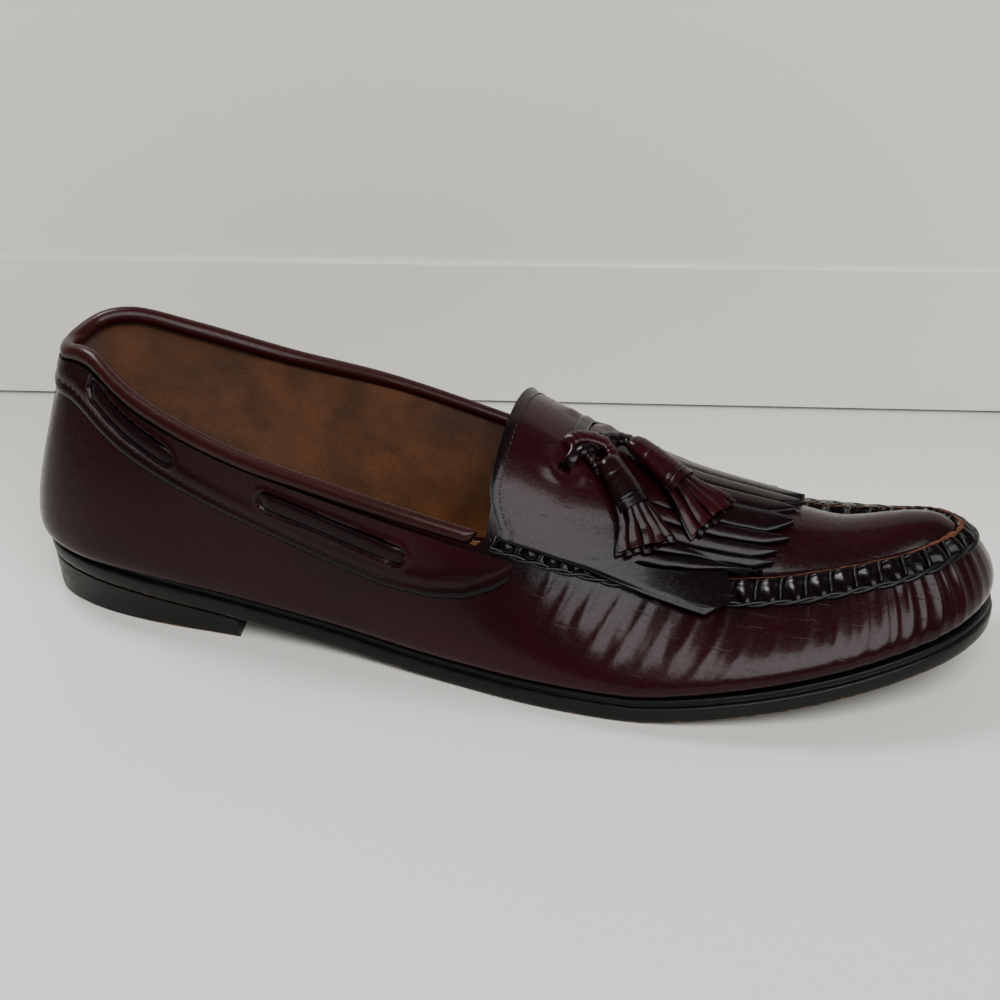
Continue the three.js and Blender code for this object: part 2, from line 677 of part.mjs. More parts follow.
// The tassel's cap: how wide it is at each share of the tassel's length, with its two wrapped rings
const CAP_RING = 1.12;
const CAP_SHAPE = [[0, 0.5], [0.08, 0.8], [0.2, 0.86], [0.21, 0.98], [0.25, 0.98], [0.26, 0.9], [0.44, 1],
  [0.45, CAP_RING], [0.5, CAP_RING], [0.51, 1.02], [0.56, 1.04]];
const TASSEL_RISE = JOINT_GAP * 1.5;
const STRIP_WIDTH = TASSEL_FLARE / TASSEL_STRIPS * 0.86;
const STRIP_ROOT = 0.45;
const ROOT_SPREAD = TASSEL_CAP_WIDTH * 0.28;

function tasselCap(line) {
  return loft(CAP_SHAPE.map(([share, size]) => Array.from({ length: BEAD_SIDES }, (_, k) => {
    const angle = 2 * Math.PI * k / BEAD_SIDES;
    const aside = Math.cos(angle) * size * TASSEL_CAP_WIDTH / 2;
    const height = TASSEL_RISE + (Math.sin(angle) * size + CAP_RING) * TASSEL_CAP_DEPTH / 2;
    return offLine(line, share, aside, height);
  })));
}

// One strip of the tassel: spread is -1 to 1 across it, and the upper strips spring from higher up
function tasselStrip(line, spread, isUpper) {
  const tip = 1 - 0.05 * spread ** 2 - (isUpper ? 0.04 : 0);
  const rows = [STRIP_ROOT + 0.02, 0.62, 0.8, tip];
  return sheet(rows.length, 2, (i, j) => {
    const open = smooth((rows[i] - STRIP_ROOT) / (1 - STRIP_ROOT));
    const reach = ROOT_SPREAD + open * (TASSEL_FLARE / 2 - ROOT_SPREAD - STRIP_WIDTH / 2);
    const half = STRIP_WIDTH * (0.24 + 0.26 * open);
    const depth = isUpper ? 0.62 - 0.12 * (open + Math.abs(spread)) : 0.24 - 0.2 * open;
    const aside = spread * reach + (2 * j - 1) * half;
    return layer(line, rows[i], aside, TASSEL_RISE + depth * TASSEL_CAP_DEPTH, STRIP_THICKNESS);
  });
}

function tassel(line) {
  const strips = [false, true].flatMap((isUpper) => {
    const count = TASSEL_STRIPS - (isUpper ? 1 : 0);
    return Array.from({ length: count }, (_, k) => tasselStrip(line, 2 * k / (count - 1) - 1, isUpper));
  });
  return joined([tasselCap(line), ...strips]);
}

// The lace crosses between the kiltie's holes through a knot that carries both tassels
const HOLE_PLACE = (HALF_SLITS[4] * 3 + HALF_SLITS[5]) / 4;
const LACE_PATH = { from: [LACE_STATION, HOLE_PLACE], to: [LACE_STATION, 1 - HOLE_PLACE] };
const KNOT_LINE = { from: [KNOT_PLACE[0] - 0.17, KNOT_PLACE[1]], to: [KNOT_PLACE[0] + 0.1, KNOT_PLACE[1]] };

function lace() {
  const rows = [0, 0.07, 0.2, 0.35, 0.5, 0.65, 0.8, 0.93, 1];
  return sheet(rows.length, 2, (i, j) => {
    const dips = i === 0 || i === rows.length - 1;
    const bridge = JOINT_GAP + KILTIE_THICKNESS * Math.sin(Math.PI * rows[i]);
    const aside = (j - 0.5) * LACE_WIDTH * (dips ? 0.7 : 1);
    return layer(LACE_PATH, rows[i], aside, dips ? -KILTIE_THICKNESS * 0.8 : bridge, LACE_THICKNESS);
  });
}

function knot() {
  const shares = [0, 0.12, 0.35, 0.65, 0.88, 1];
  return loft(shares.map((share) => Array.from({ length: BEAD_SIDES }, (_, k) => {
    const angle = 2 * Math.PI * k / BEAD_SIDES;
    const size = 0.35 + 0.65 * Math.sin(Math.PI * share) ** 0.7;
    const aside = Math.cos(angle) * size * KNOT_SIZE / 2;
    const height = JOINT_GAP + KNOT_SIZE * 0.36 * (1.1 + Math.sin(angle) * size);
    return offLine(KNOT_LINE, share, aside, height);
  })));
}

const tasselLace = joined([lace(), knot()]);

// The shoe, with its colours and finishes

const burgundy = () => new THREE.MeshStandardMaterial({ color: 0x3a1016, roughness: 0.28, metalness: 0 });
const redLeather = () => new THREE.MeshStandardMaterial({ color: 0x4a1512, roughness: 0.35, metalness: 0 });
const darkStrap = () => new THREE.MeshStandardMaterial({ color: 0x2a0c10, roughness: 0.35, metalness: 0 });
const blackEdge = () => new THREE.MeshStandardMaterial({ color: 0x15130f, roughness: 0.55, metalness: 0 });
const sockLeather = () => new THREE.MeshStandardMaterial({ color: 0x4a1210, roughness: 0.6, metalness: 0 });

const pieces = [
  ['outsole', outsole, blackEdge()],
  ['midsole', midsole, blackEdge()],
  ['heel', heel, blackEdge()],
  ['insole', insole, sockLeather()],
  ['upper', upper, burgundy()],
  ['collar_roll', collarRoll, redLeather()],
  ['collar_band', collarBand, burgundy()],
  ['thong_outer_rear', thong(...THONG_SLOTS.rear, 1), darkStrap()],
  ['thong_outer_front', thong(...THONG_SLOTS.front, 1), darkStrap()],
  ['thong_inner_rear', thong(...THONG_SLOTS.rear, -1), darkStrap()],
  ['thong_inner_front', thong(...THONG_SLOTS.front, -1), darkStrap()],
  ['back_seam', backSeam, darkStrap()],
  ['kiltie', kiltie, burgundy()],
  ['tassel_lace', tasselLace, darkStrap()],
  ['tassel_near', tassel(TASSEL_NEAR), darkStrap()],
  ['tassel_far', tassel(TASSEL_FAR), darkStrap()],
];

const shoe = new THREE.Group();
for (const [name, geometry, material] of pieces) {
  const mesh = new THREE.Mesh(geometry, material);
  mesh.name = name;
  shoe.add(mesh);
}

// The origin is on the floor under the middle of the shoe
const middle = new THREE.Box3().setFromObject(shoe).getCenter(new THREE.Vector3());
shoe.position.set(-middle.x, -middle.y, 0);
const model = new THREE.Group();
model.add(shoe);

export default model;
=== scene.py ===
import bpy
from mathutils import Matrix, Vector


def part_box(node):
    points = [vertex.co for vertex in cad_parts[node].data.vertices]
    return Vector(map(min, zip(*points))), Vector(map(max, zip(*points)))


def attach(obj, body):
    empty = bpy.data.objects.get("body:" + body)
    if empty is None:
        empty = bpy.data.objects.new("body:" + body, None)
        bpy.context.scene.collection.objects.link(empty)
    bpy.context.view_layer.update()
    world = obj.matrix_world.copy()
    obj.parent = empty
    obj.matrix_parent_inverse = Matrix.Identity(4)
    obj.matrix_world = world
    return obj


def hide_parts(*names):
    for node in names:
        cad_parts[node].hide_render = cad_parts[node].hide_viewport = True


bl_info = {
    "name": "Tassel loafer",
    "version": (1, 0, 0),
    "blender": (4, 5, 0),
    "location": "View3D > Sidebar > Loafer",
    "description": "Dresses the packed tassel loafer with leather, seams, stitches, kiltie and tassels",
    "category": "Object",
}

import bmesh
import bpy
import numpy as np
from mathutils import Matrix, Vector

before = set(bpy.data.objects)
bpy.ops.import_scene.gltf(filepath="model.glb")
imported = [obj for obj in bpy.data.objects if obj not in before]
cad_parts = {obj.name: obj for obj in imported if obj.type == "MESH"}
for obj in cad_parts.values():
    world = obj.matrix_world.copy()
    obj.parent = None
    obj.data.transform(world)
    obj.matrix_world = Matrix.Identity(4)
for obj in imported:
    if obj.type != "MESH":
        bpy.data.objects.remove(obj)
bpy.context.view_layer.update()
MM = 0.001
TOE = 13
RING = 26

# The last, a row for each section from heel to toe. Each number is a share of one of the sizes:
# along of the length, lateral and medial of the ball width, heel and toe of the sole's rise there,
# ledge of the sole ledge, swell and swell_up of the wall's swelling, lean of the instep lean,
# up of the upper height, medial_lean and medial_up what the inner side has more than the outer.
COLUMNS = ("along", "lateral", "medial", "heel", "toe", "ledge", "swell", "swell_up",
           "lean", "up", "medial_lean", "medial_up")
SECTIONS = (
    (0.000, 0.000, 0.000, 1.00, 0.00, 0.20, 0.50, 1.00, 0.65, 1.03, 0.00, 0.00),
    (0.022, 0.172, 0.175, 0.98, 0.00, 0.20, 0.46, 1.00, 0.66, 1.05, -0.03, 0.03),
    (0.075, 0.272, 0.268, 0.91, 0.00, 0.24, 0.46, 0.95, 0.69, 1.07, -0.10, 0.04),
    (0.150, 0.326, 0.310, 0.80, 0.00, 0.30, 0.54, 0.91, 0.40, 0.95, -0.03, 0.07),
    (0.250, 0.348, 0.307, 0.56, 0.00, 0.40, 0.65, 0.82, 0.08, 0.85, -0.06, 0.07),
    (0.360, 0.370, 0.293, 0.23, 0.00, 0.50, 0.87, 0.77, -0.04, 0.80, -0.09, 0.09),
    (0.470, 0.430, 0.325, 0.02, 0.00, 0.70, 0.96, 0.68, 0.12, 0.73, -0.05, 0.07),
    (0.580, 0.497, 0.400, 0.00, 0.00, 0.90, 0.96, 0.59, 0.50, 0.61, -0.02, 0.02),
    (0.680, 0.517, 0.467, 0.00, 0.00, 1.00, 0.98, 0.55, 0.88, 0.50, 0.00, 0.00),
    (0.780, 0.480, 0.489, 0.00, 0.24, 1.00, 0.98, 0.55, 0.95, 0.40, 0.03, 0.00),
    (0.870, 0.397, 0.434, 0.00, 0.55, 1.00, 1.04, 0.55, 0.83, 0.37, 0.15, -0.02),
    (0.945, 0.266, 0.325, 0.00, 0.84, 1.00, 1.06, 0.55, 0.54, 0.37, 0.23, -0.02),
    (0.985, 0.126, 0.190, 0.00, 0.97, 1.00, 0.92, 0.55, 0.37, 0.37, 0.06, -0.01),
    (1.000, -0.032, 0.032, 0.00, 1.00, 1.00, 0.85, 0.55, 0.25, 0.37, 0.00, 0.00),
)

# Tables of a station and a share, as in the solids
CROWN = ((6, 1), (7, 0.78), (8, 0.7), (9, 0.59), (10, 0.45), (11, 0.35), (12, 0.22), (12.6, 0.09), (13, 0))
ROUNDNESS = ((6, 0.62), (9, 0.8), (12, 0.9))
DROP = ((6.3, 0), (8, 0.5), (9.5, 1), (11.5, 0.85), (13, 0.5))
BAND_EDGE = ((0, 0.9), (1.65, 0.874), (3.2, 0.81), (4.4, 0.755), (5.1, 0.715), (5.6, 0.697),
             (6.05, 0.713), (6.35, 0.75), (6.6, 0.82), (6.72, 0.87))
THONG_LINE = ((2.1, 1.76), (3.5, 2.4), (4.4, 2.36), (5.8, 2.74))
THONG_RUNS = ((2.12, 3.5), (4.4, 5.8))
STRIP_TIPS = ((0, 9.2), (0.034, 9.26), (0.09, 9.36), (0.14, 9.43), (0.22, 9.51), (0.5, 9.53))
SKIRT_REACH = ((6.43, 0.03), (6.9, 0.04), (7.1, 0.08), (7.4, 0.12), (7.7, 0.2), (8, 0.27), (8.3, 0.34),
               (8.66, 0.44), (8.97, 0.42))
SKIRT_TIPS = ((0, 8.66), (0.42, 8.95), (0.85, 8.92), (0.93, 8.9), (1, 8.87))
DRAPE = ((8.2, 1.1), (9.2, 0.4))
HALF_SLITS = (0.02, 0.062, 0.115, 0.18, 0.25, 0.39)
KILTIE_BACK, KILTIE_ROOT = 6.43, 7.85
TASSELS = {"near": ((7.3, 0.335), (7.98, 0.05)), "far": ((7.44, 0.505), (8.62, 0.238))}
HOLES = (0.262, 0.715)
HOLE_STATION = 6.99

# Millimetres in a station and across the apron, near the lace holes
STATION_LENGTH, APRON_WIDTH = 24, 75

# The collar ends and the apron starts here
THROAT = 6.46

# The lace's runs over the kiltie: a station, a share of the apron and a height in millimetres for each
# point, then the run's width in laces, its flatness, how creased it is and how dark it is painted. The
# darkness is painted light and shade on one lace: some runs of the knot are lighter, others near black.
LACE_RUNS = (
    (((7.01, 0.287, -1.3), (7.02, 0.3, 0.7), (7.04, 0.34, 1.8), (7.02, 0.39, 2.0), (7.0, 0.45, 2.0),
      (6.98, 0.56, 1.2), (6.97, 0.65, 0.9), (6.98, 0.69, 0.6), (6.99, 0.7, -1.3)), 1.1, 0.34, 0.03, 0.9),
    (((6.92, 0.38, 0.6), (6.97, 0.4, 2.8), (7.1, 0.425, 3.7), (7.26, 0.43, 3.5), (7.33, 0.435, 1.8)),
     1.4, 0.4, 0.05, -0.1),
    (((7.02, 0.35, 0.5), (7.1, 0.36, 2.4), (7.2, 0.41, 2.6), (7.28, 0.47, 2.2), (7.3, 0.52, 0.6)),
     1.3, 0.55, 0.08, 1.1),
    (((7.13, 0.36, 1.2), (7.2, 0.325, 2.2), (7.27, 0.3, 1.4), (7.3, 0.285, 0.4)), 0.95, 0.7, 0.2, 0.8),
    (((7.2, 0.43, 2.6), (7.29, 0.41, 3.4), (7.36, 0.37, 3.4), (7.38, 0.315, 2.8)), 1.1, 0.5, 0.05, 0.2),
    (((7.2, 0.46, 2.4), (7.34, 0.505, 3.0), (7.46, 0.505, 3.4), (7.58, 0.48, 3.0)), 1.6, 0.55, 0.06, 1.1),
)


def size(name, description, millimetres):
    return bpy.props.FloatProperty(name=name, description=description, default=millimetres * MM,
                                   min=0, precision=5, unit="LENGTH", subtype="DISTANCE")


def linear(code):
    """sRGB hex to linear: c / 12.92 below 0.04045, else ((c + 0.055) / 1.055) ** 2.4."""
    c = np.array([int(code[i:i + 2], 16) for i in (0, 2, 4)]) / 255
    return tuple(np.where(c < 0.04045, c / 12.92, ((c + 0.055) / 1.055) ** 2.4))


def colour(name, description, code):
    return bpy.props.FloatVectorProperty(name=name, description=description, default=linear(code),
                                         size=3, min=0, max=1, subtype="COLOR")


class LoaferSizes(bpy.types.PropertyGroup):
    """The sizes of the last, the sole and what is sewn on the upper."""
    shoe_length: size("Sole length", "The outsole from heel to toe", 300)
    ball_width: size("Ball width", "The outsole across the ball", 105)
    heel_height: size("Heel height", "From the floor to the outsole at the back", 12.7)
    toe_spring: size("Toe spring", "From the floor to the outsole at the toe", 14.5)
    outsole: size("Outsole thickness", "One layer of sole leather", 5.2)
    midsole: size("Welt thickness", "The thin layer over the outsole", 2.2)
    insole: size("Insole thickness", "The board and the sock on it", 2)
    sole_ledge: size("Sole ledge", "How far the forefoot's sole stands out under the wall", 5)
    edge_taper: size("Edge taper", "How far the sole's edge slopes in", 0.6)
    heel_taper: size("Heel taper", "How far the heel's side slopes in", 1.6)
    breast_curve: size("Breast curve", "How far the heel's front is hollowed", 3)
    upper_height: size("Upper height", "The wall at the back of the heel", 59.3)
    wall: size("Wall thickness", "The upper's leather with its lining", 2.2)
    wall_swell: size("Wall swell", "How far the wall swells over the sole", 5.2)
    swell_height: size("Swell height", "How high the swelling lies", 13.6)
    instep_lean: size("Instep lean", "How far the wall leans in at the instep", 18.5)
    instep_crown: size("Instep crown", "How high the apron is crowned at the throat", 25.5)
    seam_drop: size("Seam drop", "How far the apron lies under its seam", 4)
    seam_width: size("Seam width", "The raised seam from foot to foot", 5.6)
    stitch_pitch: size("Seam stitch pitch", "From one whip stitch of the raised seam to the next", 6.9)
    seam_thread: size("Seam thread", "The waxed thread of the raised seam", 0.9)
    pucker: size("Pucker depth", "How deep the wall is gathered under the seam", 0.55)
    joint_gap: size("Joint gap", "The room between pieces", 0.3)
    roll_radius: size("Roll radius", "The padded roll at the back", 2.9)
    roll_end_radius: size("Roll end radius", "The padded roll at the throat", 2.3)
    band: size("Band thickness", "The collar band", 1.2)
    thong_width: size("Thong width", "The flat thong in the collar band", 5)
    fine_pitch: size("Fine stitch pitch", "From one machine stitch to the next", 2.3)
    fine_thread: size("Fine thread", "The thread of the machine stitches", 0.45)
    kiltie: size("Kiltie thickness", "The fringed tongue", 1.6)
    kiltie_lift: size("Kiltie lift", "The room under the kiltie", 0.8)
    kiltie_skirt: size("Kiltie skirt", "How far the side skirt hangs over the seam", 8.8)
    slit: size("Slit width", "The gap between two strips of the kiltie", 0.8)
    lace_width: size("Lace width", "The flat lace, from edge to edge", 3.6)
    cap_width: size("Tassel cap width", "The wrapped roll at the tassel's top", 9)
    cap_depth: size("Tassel cap depth", "The wrapped roll, up from the kiltie", 6.4)
    flare: size("Tassel flare", "The tassel across its strips' ends", 19)
    strip: size("Tassel strip thickness", "One strip of the tassel", 1.1)


class LoaferColours(bpy.types.PropertyGroup):
    """The colours of leather, thread and edges."""
    # The burgundy and the dark burgundy are mixed by each piece's shade values: partly the finish's real
    # dark dressing at seams and edges, partly painted shade in folds, recesses and on sides turned from the
    # light, and painted light where the values run low.
    burgundy: colour("Burgundy", "The upper where the finish is brushed thin", "250509")
    burgundy_dark: colour("Dark burgundy", "The upper at folds, seams and edges", "080304")
    collar_red: colour("Collar red", "The padded roll", "240504")
    edge_black: colour("Edge black", "Cut and dressed leather edges", "030303")
    thread_black: colour("Thread black", "Waxed thread", "040404")
    raw_edge: colour("Raw edge", "The apron's cut edge at the seam", "5a3422")
    suede: colour("Suede", "The lining", "633a1c")
    suede_dark: colour("Dark suede", "The lining where the nap lies down", "412510")
    sock: colour("Sock", "The sock on the insole", "3c0806")
    sole_black: colour("Sole black", "Edge dressing on the sole", "070807")
    sole_tan: colour("Sole tan", "Sole leather where the dressing has worn off", "6e4a2b")
    floor: colour("Floor", "The pale floor and wall", "d4d3cd")


def catmull(a, b, c, d, f):
    """The Catmull-Rom cubic from b to c: (2b + (c-a)f + (2a-5b+4c-d)f² + (3b-a-3c+d)f³) / 2."""
    return 0.5 * (2 * b + (c - a) * f + (2 * a - 5 * b + 4 * c - d) * f ** 2
                  + (3 * b - a - 3 * c + d) * f ** 3)


def spline(values, t):
    """Closed Catmull-Rom curve through values, one for each whole station."""
    t = np.asarray(t, float)
    i = np.floor(t).astype(int)
    return catmull(*(values[(i + step) % len(values)] for step in (-1, 0, 1, 2)), t - i)


def through(keys, count):
    """Open Catmull-Rom curve through rows of keys."""
    keys = np.asarray(keys, float)
    place = np.linspace(0, len(keys) - 1, count)
    i = np.minimum(place.astype(int), len(keys) - 2)
    return catmull(*(keys[np.clip(i + step, 0, len(keys) - 1)] for step in (-1, 0, 1, 2)),
                   (place - i)[:, None])


def table(rows, t):
    """Straight lines between the rows of a table."""
    rows = np.array(rows, float)
    return np.interp(t, rows[:, 0], rows[:, 1])


def smooth(share):
    """3s² - 2s³, held between 0 and 1."""
    s = np.clip(share, 0, 1)
    return s * s * (3 - 2 * s)


def lerp(a, b, share):
    """a + (b - a) · share, for points."""
    return a + (b - a) * np.asarray(share)[..., None]


def unit(v):
    """v over its length."""
    return v / np.maximum(np.linalg.norm(v, axis=-1, keepdims=True), 1e-12)


def normal(surface, t, v, dt=1e-3, dv=1e-3):
    """The cross product of a surface's two slopes."""
    along = surface(t + dt, v) - surface(t - dt, v)
    up = surface(t, v + dv) - surface(t, v - dv)
    return unit(np.cross(along, up))


def ripple(x, seed, octaves=4):
    """A smooth irregular wave between about -1 and 1: sines of growing pitch with seeded phases."""
    rng = np.random.default_rng(seed)
    wave = sum(np.sin(x * 1.7 ** k * rng.uniform(0.8, 1.2) + rng.uniform(0, 6.3)) / 1.3 ** k
               for k in range(octaves))
    return wave / 2.2


class Last:
    """The surfaces of the shoe. A station t runs 0 at the heel, up the outer side to the toe at 13,
    and back down the inner side to 26. v and w run 0 to 1 up the wall and across the apron."""

    def __init__(self, sizes):
        self.size = sizes
        column = dict(zip(COLUMNS, np.array(SECTIONS).T))

        def ring(outer, inner=None):
            return np.concatenate([outer, (outer if inner is None else inner)[-2:0:-1]])

        self.x = ring(column["along"] - 0.5) * sizes.shoe_length
        self.y = ring(-column["lateral"], column["medial"]) * sizes.ball_width
        self.lean = ring(column["lean"], column["lean"] + column["medial_lean"]) * sizes.instep_lean
        self.up = ring(column["up"], column["up"] + column["medial_up"]) * sizes.upper_height
        self.rise = ring(column["heel"]) * sizes.heel_height + ring(column["toe"]) * sizes.toe_spring
        self.ledges = ring(column["ledge"]) * sizes.sole_ledge
        self.swell = ring(column["swell"]) * sizes.wall_swell
        self.swell_up = ring(column["swell_up"]) * sizes.swell_height
        self.shift = np.zeros(2)
        t = np.linspace(0, RING, 40 * RING)
        x, y = self.outline(t)[:2]
        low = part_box("outsole")[0]
        self.shift = np.array([low.x - x.min(), low.y - y.min()])
        self.arc_t = t
        crest = self.wall(t, np.ones_like(t))
        self.arc = np.concatenate([[0], np.cumsum(np.linalg.norm(np.diff(crest, axis=0), axis=1))])

    def length_at(self, t):
        """The way along the wall's crest from station 0."""
        return np.interp(t, self.arc_t, self.arc)

    def station_at(self, length):
        """The station that lies a length along the crest."""
        return np.interp(length, self.arc, self.arc_t)

    def bottom(self, t):
        """The sole's underside: the heel's rise and the toe spring, never under the floor."""
        return np.maximum(spline(self.rise, t), 0)

    def foot(self, t):
        """The wall's foot: the sole's two layers and their gaps over the underside."""
        return self.bottom(t) + self.size.outsole + self.size.midsole + 2 * self.size.joint_gap

    def ledge(self, t):
        """How far the sole stands out under the wall's foot."""
        return spline(self.ledges, t)

    def outline(self, t):
        """The sole's edge in plan, and its outward direction."""
        step = 1e-3
        x, y = spline(self.x, t) + self.shift[0], spline(self.y, t) + self.shift[1]
        dx = spline(self.x, t + step) - spline(self.x, t - step)
        dy = spline(self.y, t + step) - spline(self.y, t - step)
        length = np.hypot(dx, dy)
        return x, y, dy / length, -dx / length

    def out(self, t):
        """The outward direction at a station, level."""
        out_x, out_y = self.outline(np.asarray(t, float))[2:]
        return np.stack([out_x, out_y, np.zeros_like(out_x)], -1)

    def outward(self, t, distance, z):
        """The outline moved out by a distance, at height z."""
        x, y, out_x, out_y = self.outline(np.asarray(t, float))
        return np.stack(np.broadcast_arrays(x + out_x * distance, y + out_y * distance, z), -1)

    def wall(self, t, v):
        """A parabola in v through the foot line, the swelling and the crest."""
        t, v = np.asarray(t, float), np.asarray(v, float)
        x, y, out_x, out_y = self.outline(t)
        ledge, z = self.ledge(t), self.foot(t)
        foot, swell, crest = (1 - v) * (1 - 2 * v), 4 * v * (1 - v), v * (2 * v - 1)
        out = spline(self.swell, t) * swell - spline(self.lean, t) * crest - ledge
        high = z + spline(self.swell_up, t) * swell + spline(self.up, t) * crest
        return np.stack([x + out_x * out, y + out_y * out, high * np.ones_like(foot)], -1)

    def off_wall(self, t, v, distance):
        """The wall moved along its normal by a distance."""
        t, v = np.broadcast_arrays(np.asarray(t, float), np.asarray(v, float))
        return self.wall(t, v) + normal(self.wall, t, v) * np.asarray(distance)[..., None]

    def share_below(self, t, depth):
        """The share of the wall a depth under the crest: the root of the wall's parabola in z."""
        swell, height = spline(self.swell_up, t), spline(self.up, t)
        a, b = 2 * height - 4 * swell, 4 * swell - height
        return (-b + np.sqrt(b * b + 4 * a * (height - depth))) / (2 * a)

    def apron_edge(self, t):
        """The wall's crest drawn in by 0.27 of the seam's width."""
        edge = self.wall(t, np.ones_like(np.asarray(t, float)))
        return edge - self.out(t) * self.size.seam_width * 0.27

    def apron_width(self, t):
        """The straight way from one apron edge to the other."""
        return np.linalg.norm(self.apron_edge(t) - self.apron_edge(RING - t), axis=-1)

    def apron(self, t, w):
        """A chord between the seams, raised by crown · (4w(1 - w)) ** roundness, less the drop."""
        t, w = np.broadcast_arrays(np.asarray(t, float), np.asarray(w, float))
        arch = np.maximum(4 * w * (1 - w), 0) ** table(ROUNDNESS, t)
        point = lerp(self.apron_edge(t), self.apron_edge(RING - t), w)
        lift = arch * table(CROWN, t) * self.size.instep_crown - table(DROP, t) * self.size.seam_drop
        point[..., 2] += lift
        return point

    def worn_apron(self, t, w):
        """The apron as worn: hollow in front of the kiltie towards the inner seam, full at the toe."""
        t, w = np.broadcast_arrays(np.asarray(t, float), np.asarray(w, float))
        point = self.apron(t, w)
        inner = smooth((w - 0.3) / 0.6)
        point[..., 2] -= 2.0 * MM * np.exp(-((t - 10.05) / 0.6) ** 2) * (0.15 + 0.85 * inner)
        point[..., 2] += 0.9 * MM * np.exp(-((t - 11.6) / 0.7) ** 2) * (1 - (2 * w - 1) ** 2)
        return point

    def apron_normal(self, t, w):
        """The apron's normal, taken a little inside its ends."""
        return normal(self.apron, np.minimum(t, TOE - 0.12), np.clip(w, 0.02, 0.98))

    def kiltie_under(self, t, c):
        """The kiltie's underside: on the apron, a quadratic curve over the seam, then down the wall."""
        t, c = np.broadcast_arrays(np.asarray(t, float), np.asarray(c, float))
        width, seam, lift = self.apron_width(t), self.size.seam_width, self.size.kiltie_lift
        side = np.where(c < 0.5, t, RING - t)
        near = np.minimum(c, 1 - c)
        inset = near * np.where(near > 0, width, self.size.kiltie_skirt)
        drape_in, drape_out = table(DRAPE, t) * seam, 0.45 * seam

        def lying(w):
            return self.apron(t, w) + self.apron_normal(t, w) * lift

        def hanging(beyond):
            return self.off_wall(side, 1 - beyond / spline(self.up, side),
                                 np.full(t.shape, lift + 0.2 * seam))

        share = (drape_in - inset) / (drape_in + drape_out)
        start = lying(np.where(c < 0.5, drape_in / width, 1 - drape_in / width))
        end = hanging(np.full(t.shape, drape_out))
        over = self.apron_edge(side)
        over[..., 2] += lift + 0.6 * seam
        blend = lerp(lerp(start, over, share), lerp(over, end, share), share)
        beyond = hanging(np.maximum(-inset, drape_out))
        on_apron = (inset > drape_in)[..., None]
        past_seam = (inset < -drape_out)[..., None]
        return np.where(on_apron, lying(np.clip(c, 0, 1)), np.where(past_seam, beyond, blend))

    def kiltie_face(self, t, c):
        """The kiltie's normal, taken over a wide step so that the seam under it doesn't show."""
        return normal(self.kiltie_under, t, c, 0.02, 0.03)

    def on_kiltie(self, t, c, height):
        """The kiltie's underside moved along its normal by a height."""
        t, c = np.broadcast_arrays(np.asarray(t, float), np.asarray(c, float))
        return self.kiltie_under(t, c) + self.kiltie_face(t, c) * np.asarray(height)[..., None]

    def off_line(self, line, share, aside, height):
        """A point along a line on the kiltie, aside from it and over the kiltie's face."""
        share, aside, height = np.broadcast_arrays(*(np.asarray(a, float) for a in (share, aside, height)))
        (t0, c0), (t1, c1) = line
        t, c, step = t0 + (t1 - t0) * share, c0 + (c1 - c0) * share, 0.02
        under = self.kiltie_under
        ahead = np.linalg.norm(under(t + step, c) - under(t - step, c), axis=-1) / (2 * step)
        across = np.linalg.norm(under(t, c + step) - under(t, c - step), axis=-1) / (2 * step)
        run_t, run_c = (t1 - t0) * ahead, (c1 - c0) * across
        length = np.hypot(run_t, run_c)
        return self.on_kiltie(t - aside * run_c / length / ahead, c + aside * run_t / length / across,
                              self.size.kiltie + height)


def tube_faces(count, steps, sides, closed=True):
    """The faces of many tubes, each a run of rings with its two ends closed or left open."""
    k = np.arange(sides)
    i = np.arange(steps - 1)[:, None] * sides
    one = np.stack([i + k, i + sides + k, i + sides + (k + 1) % sides, i + (k + 1) % sides], -1)
    one = one.reshape(-1, 4)
    if closed:
        cap = np.stack([k[:-2] * 0, k[1:-1], k[2:], k[2:]], -1)
        one = np.concatenate([one, cap, cap[:, ::-1] + (steps - 1) * sides])
    return (one[None] + (np.arange(count) * steps * sides)[:, None, None]).reshape(-1, 4)


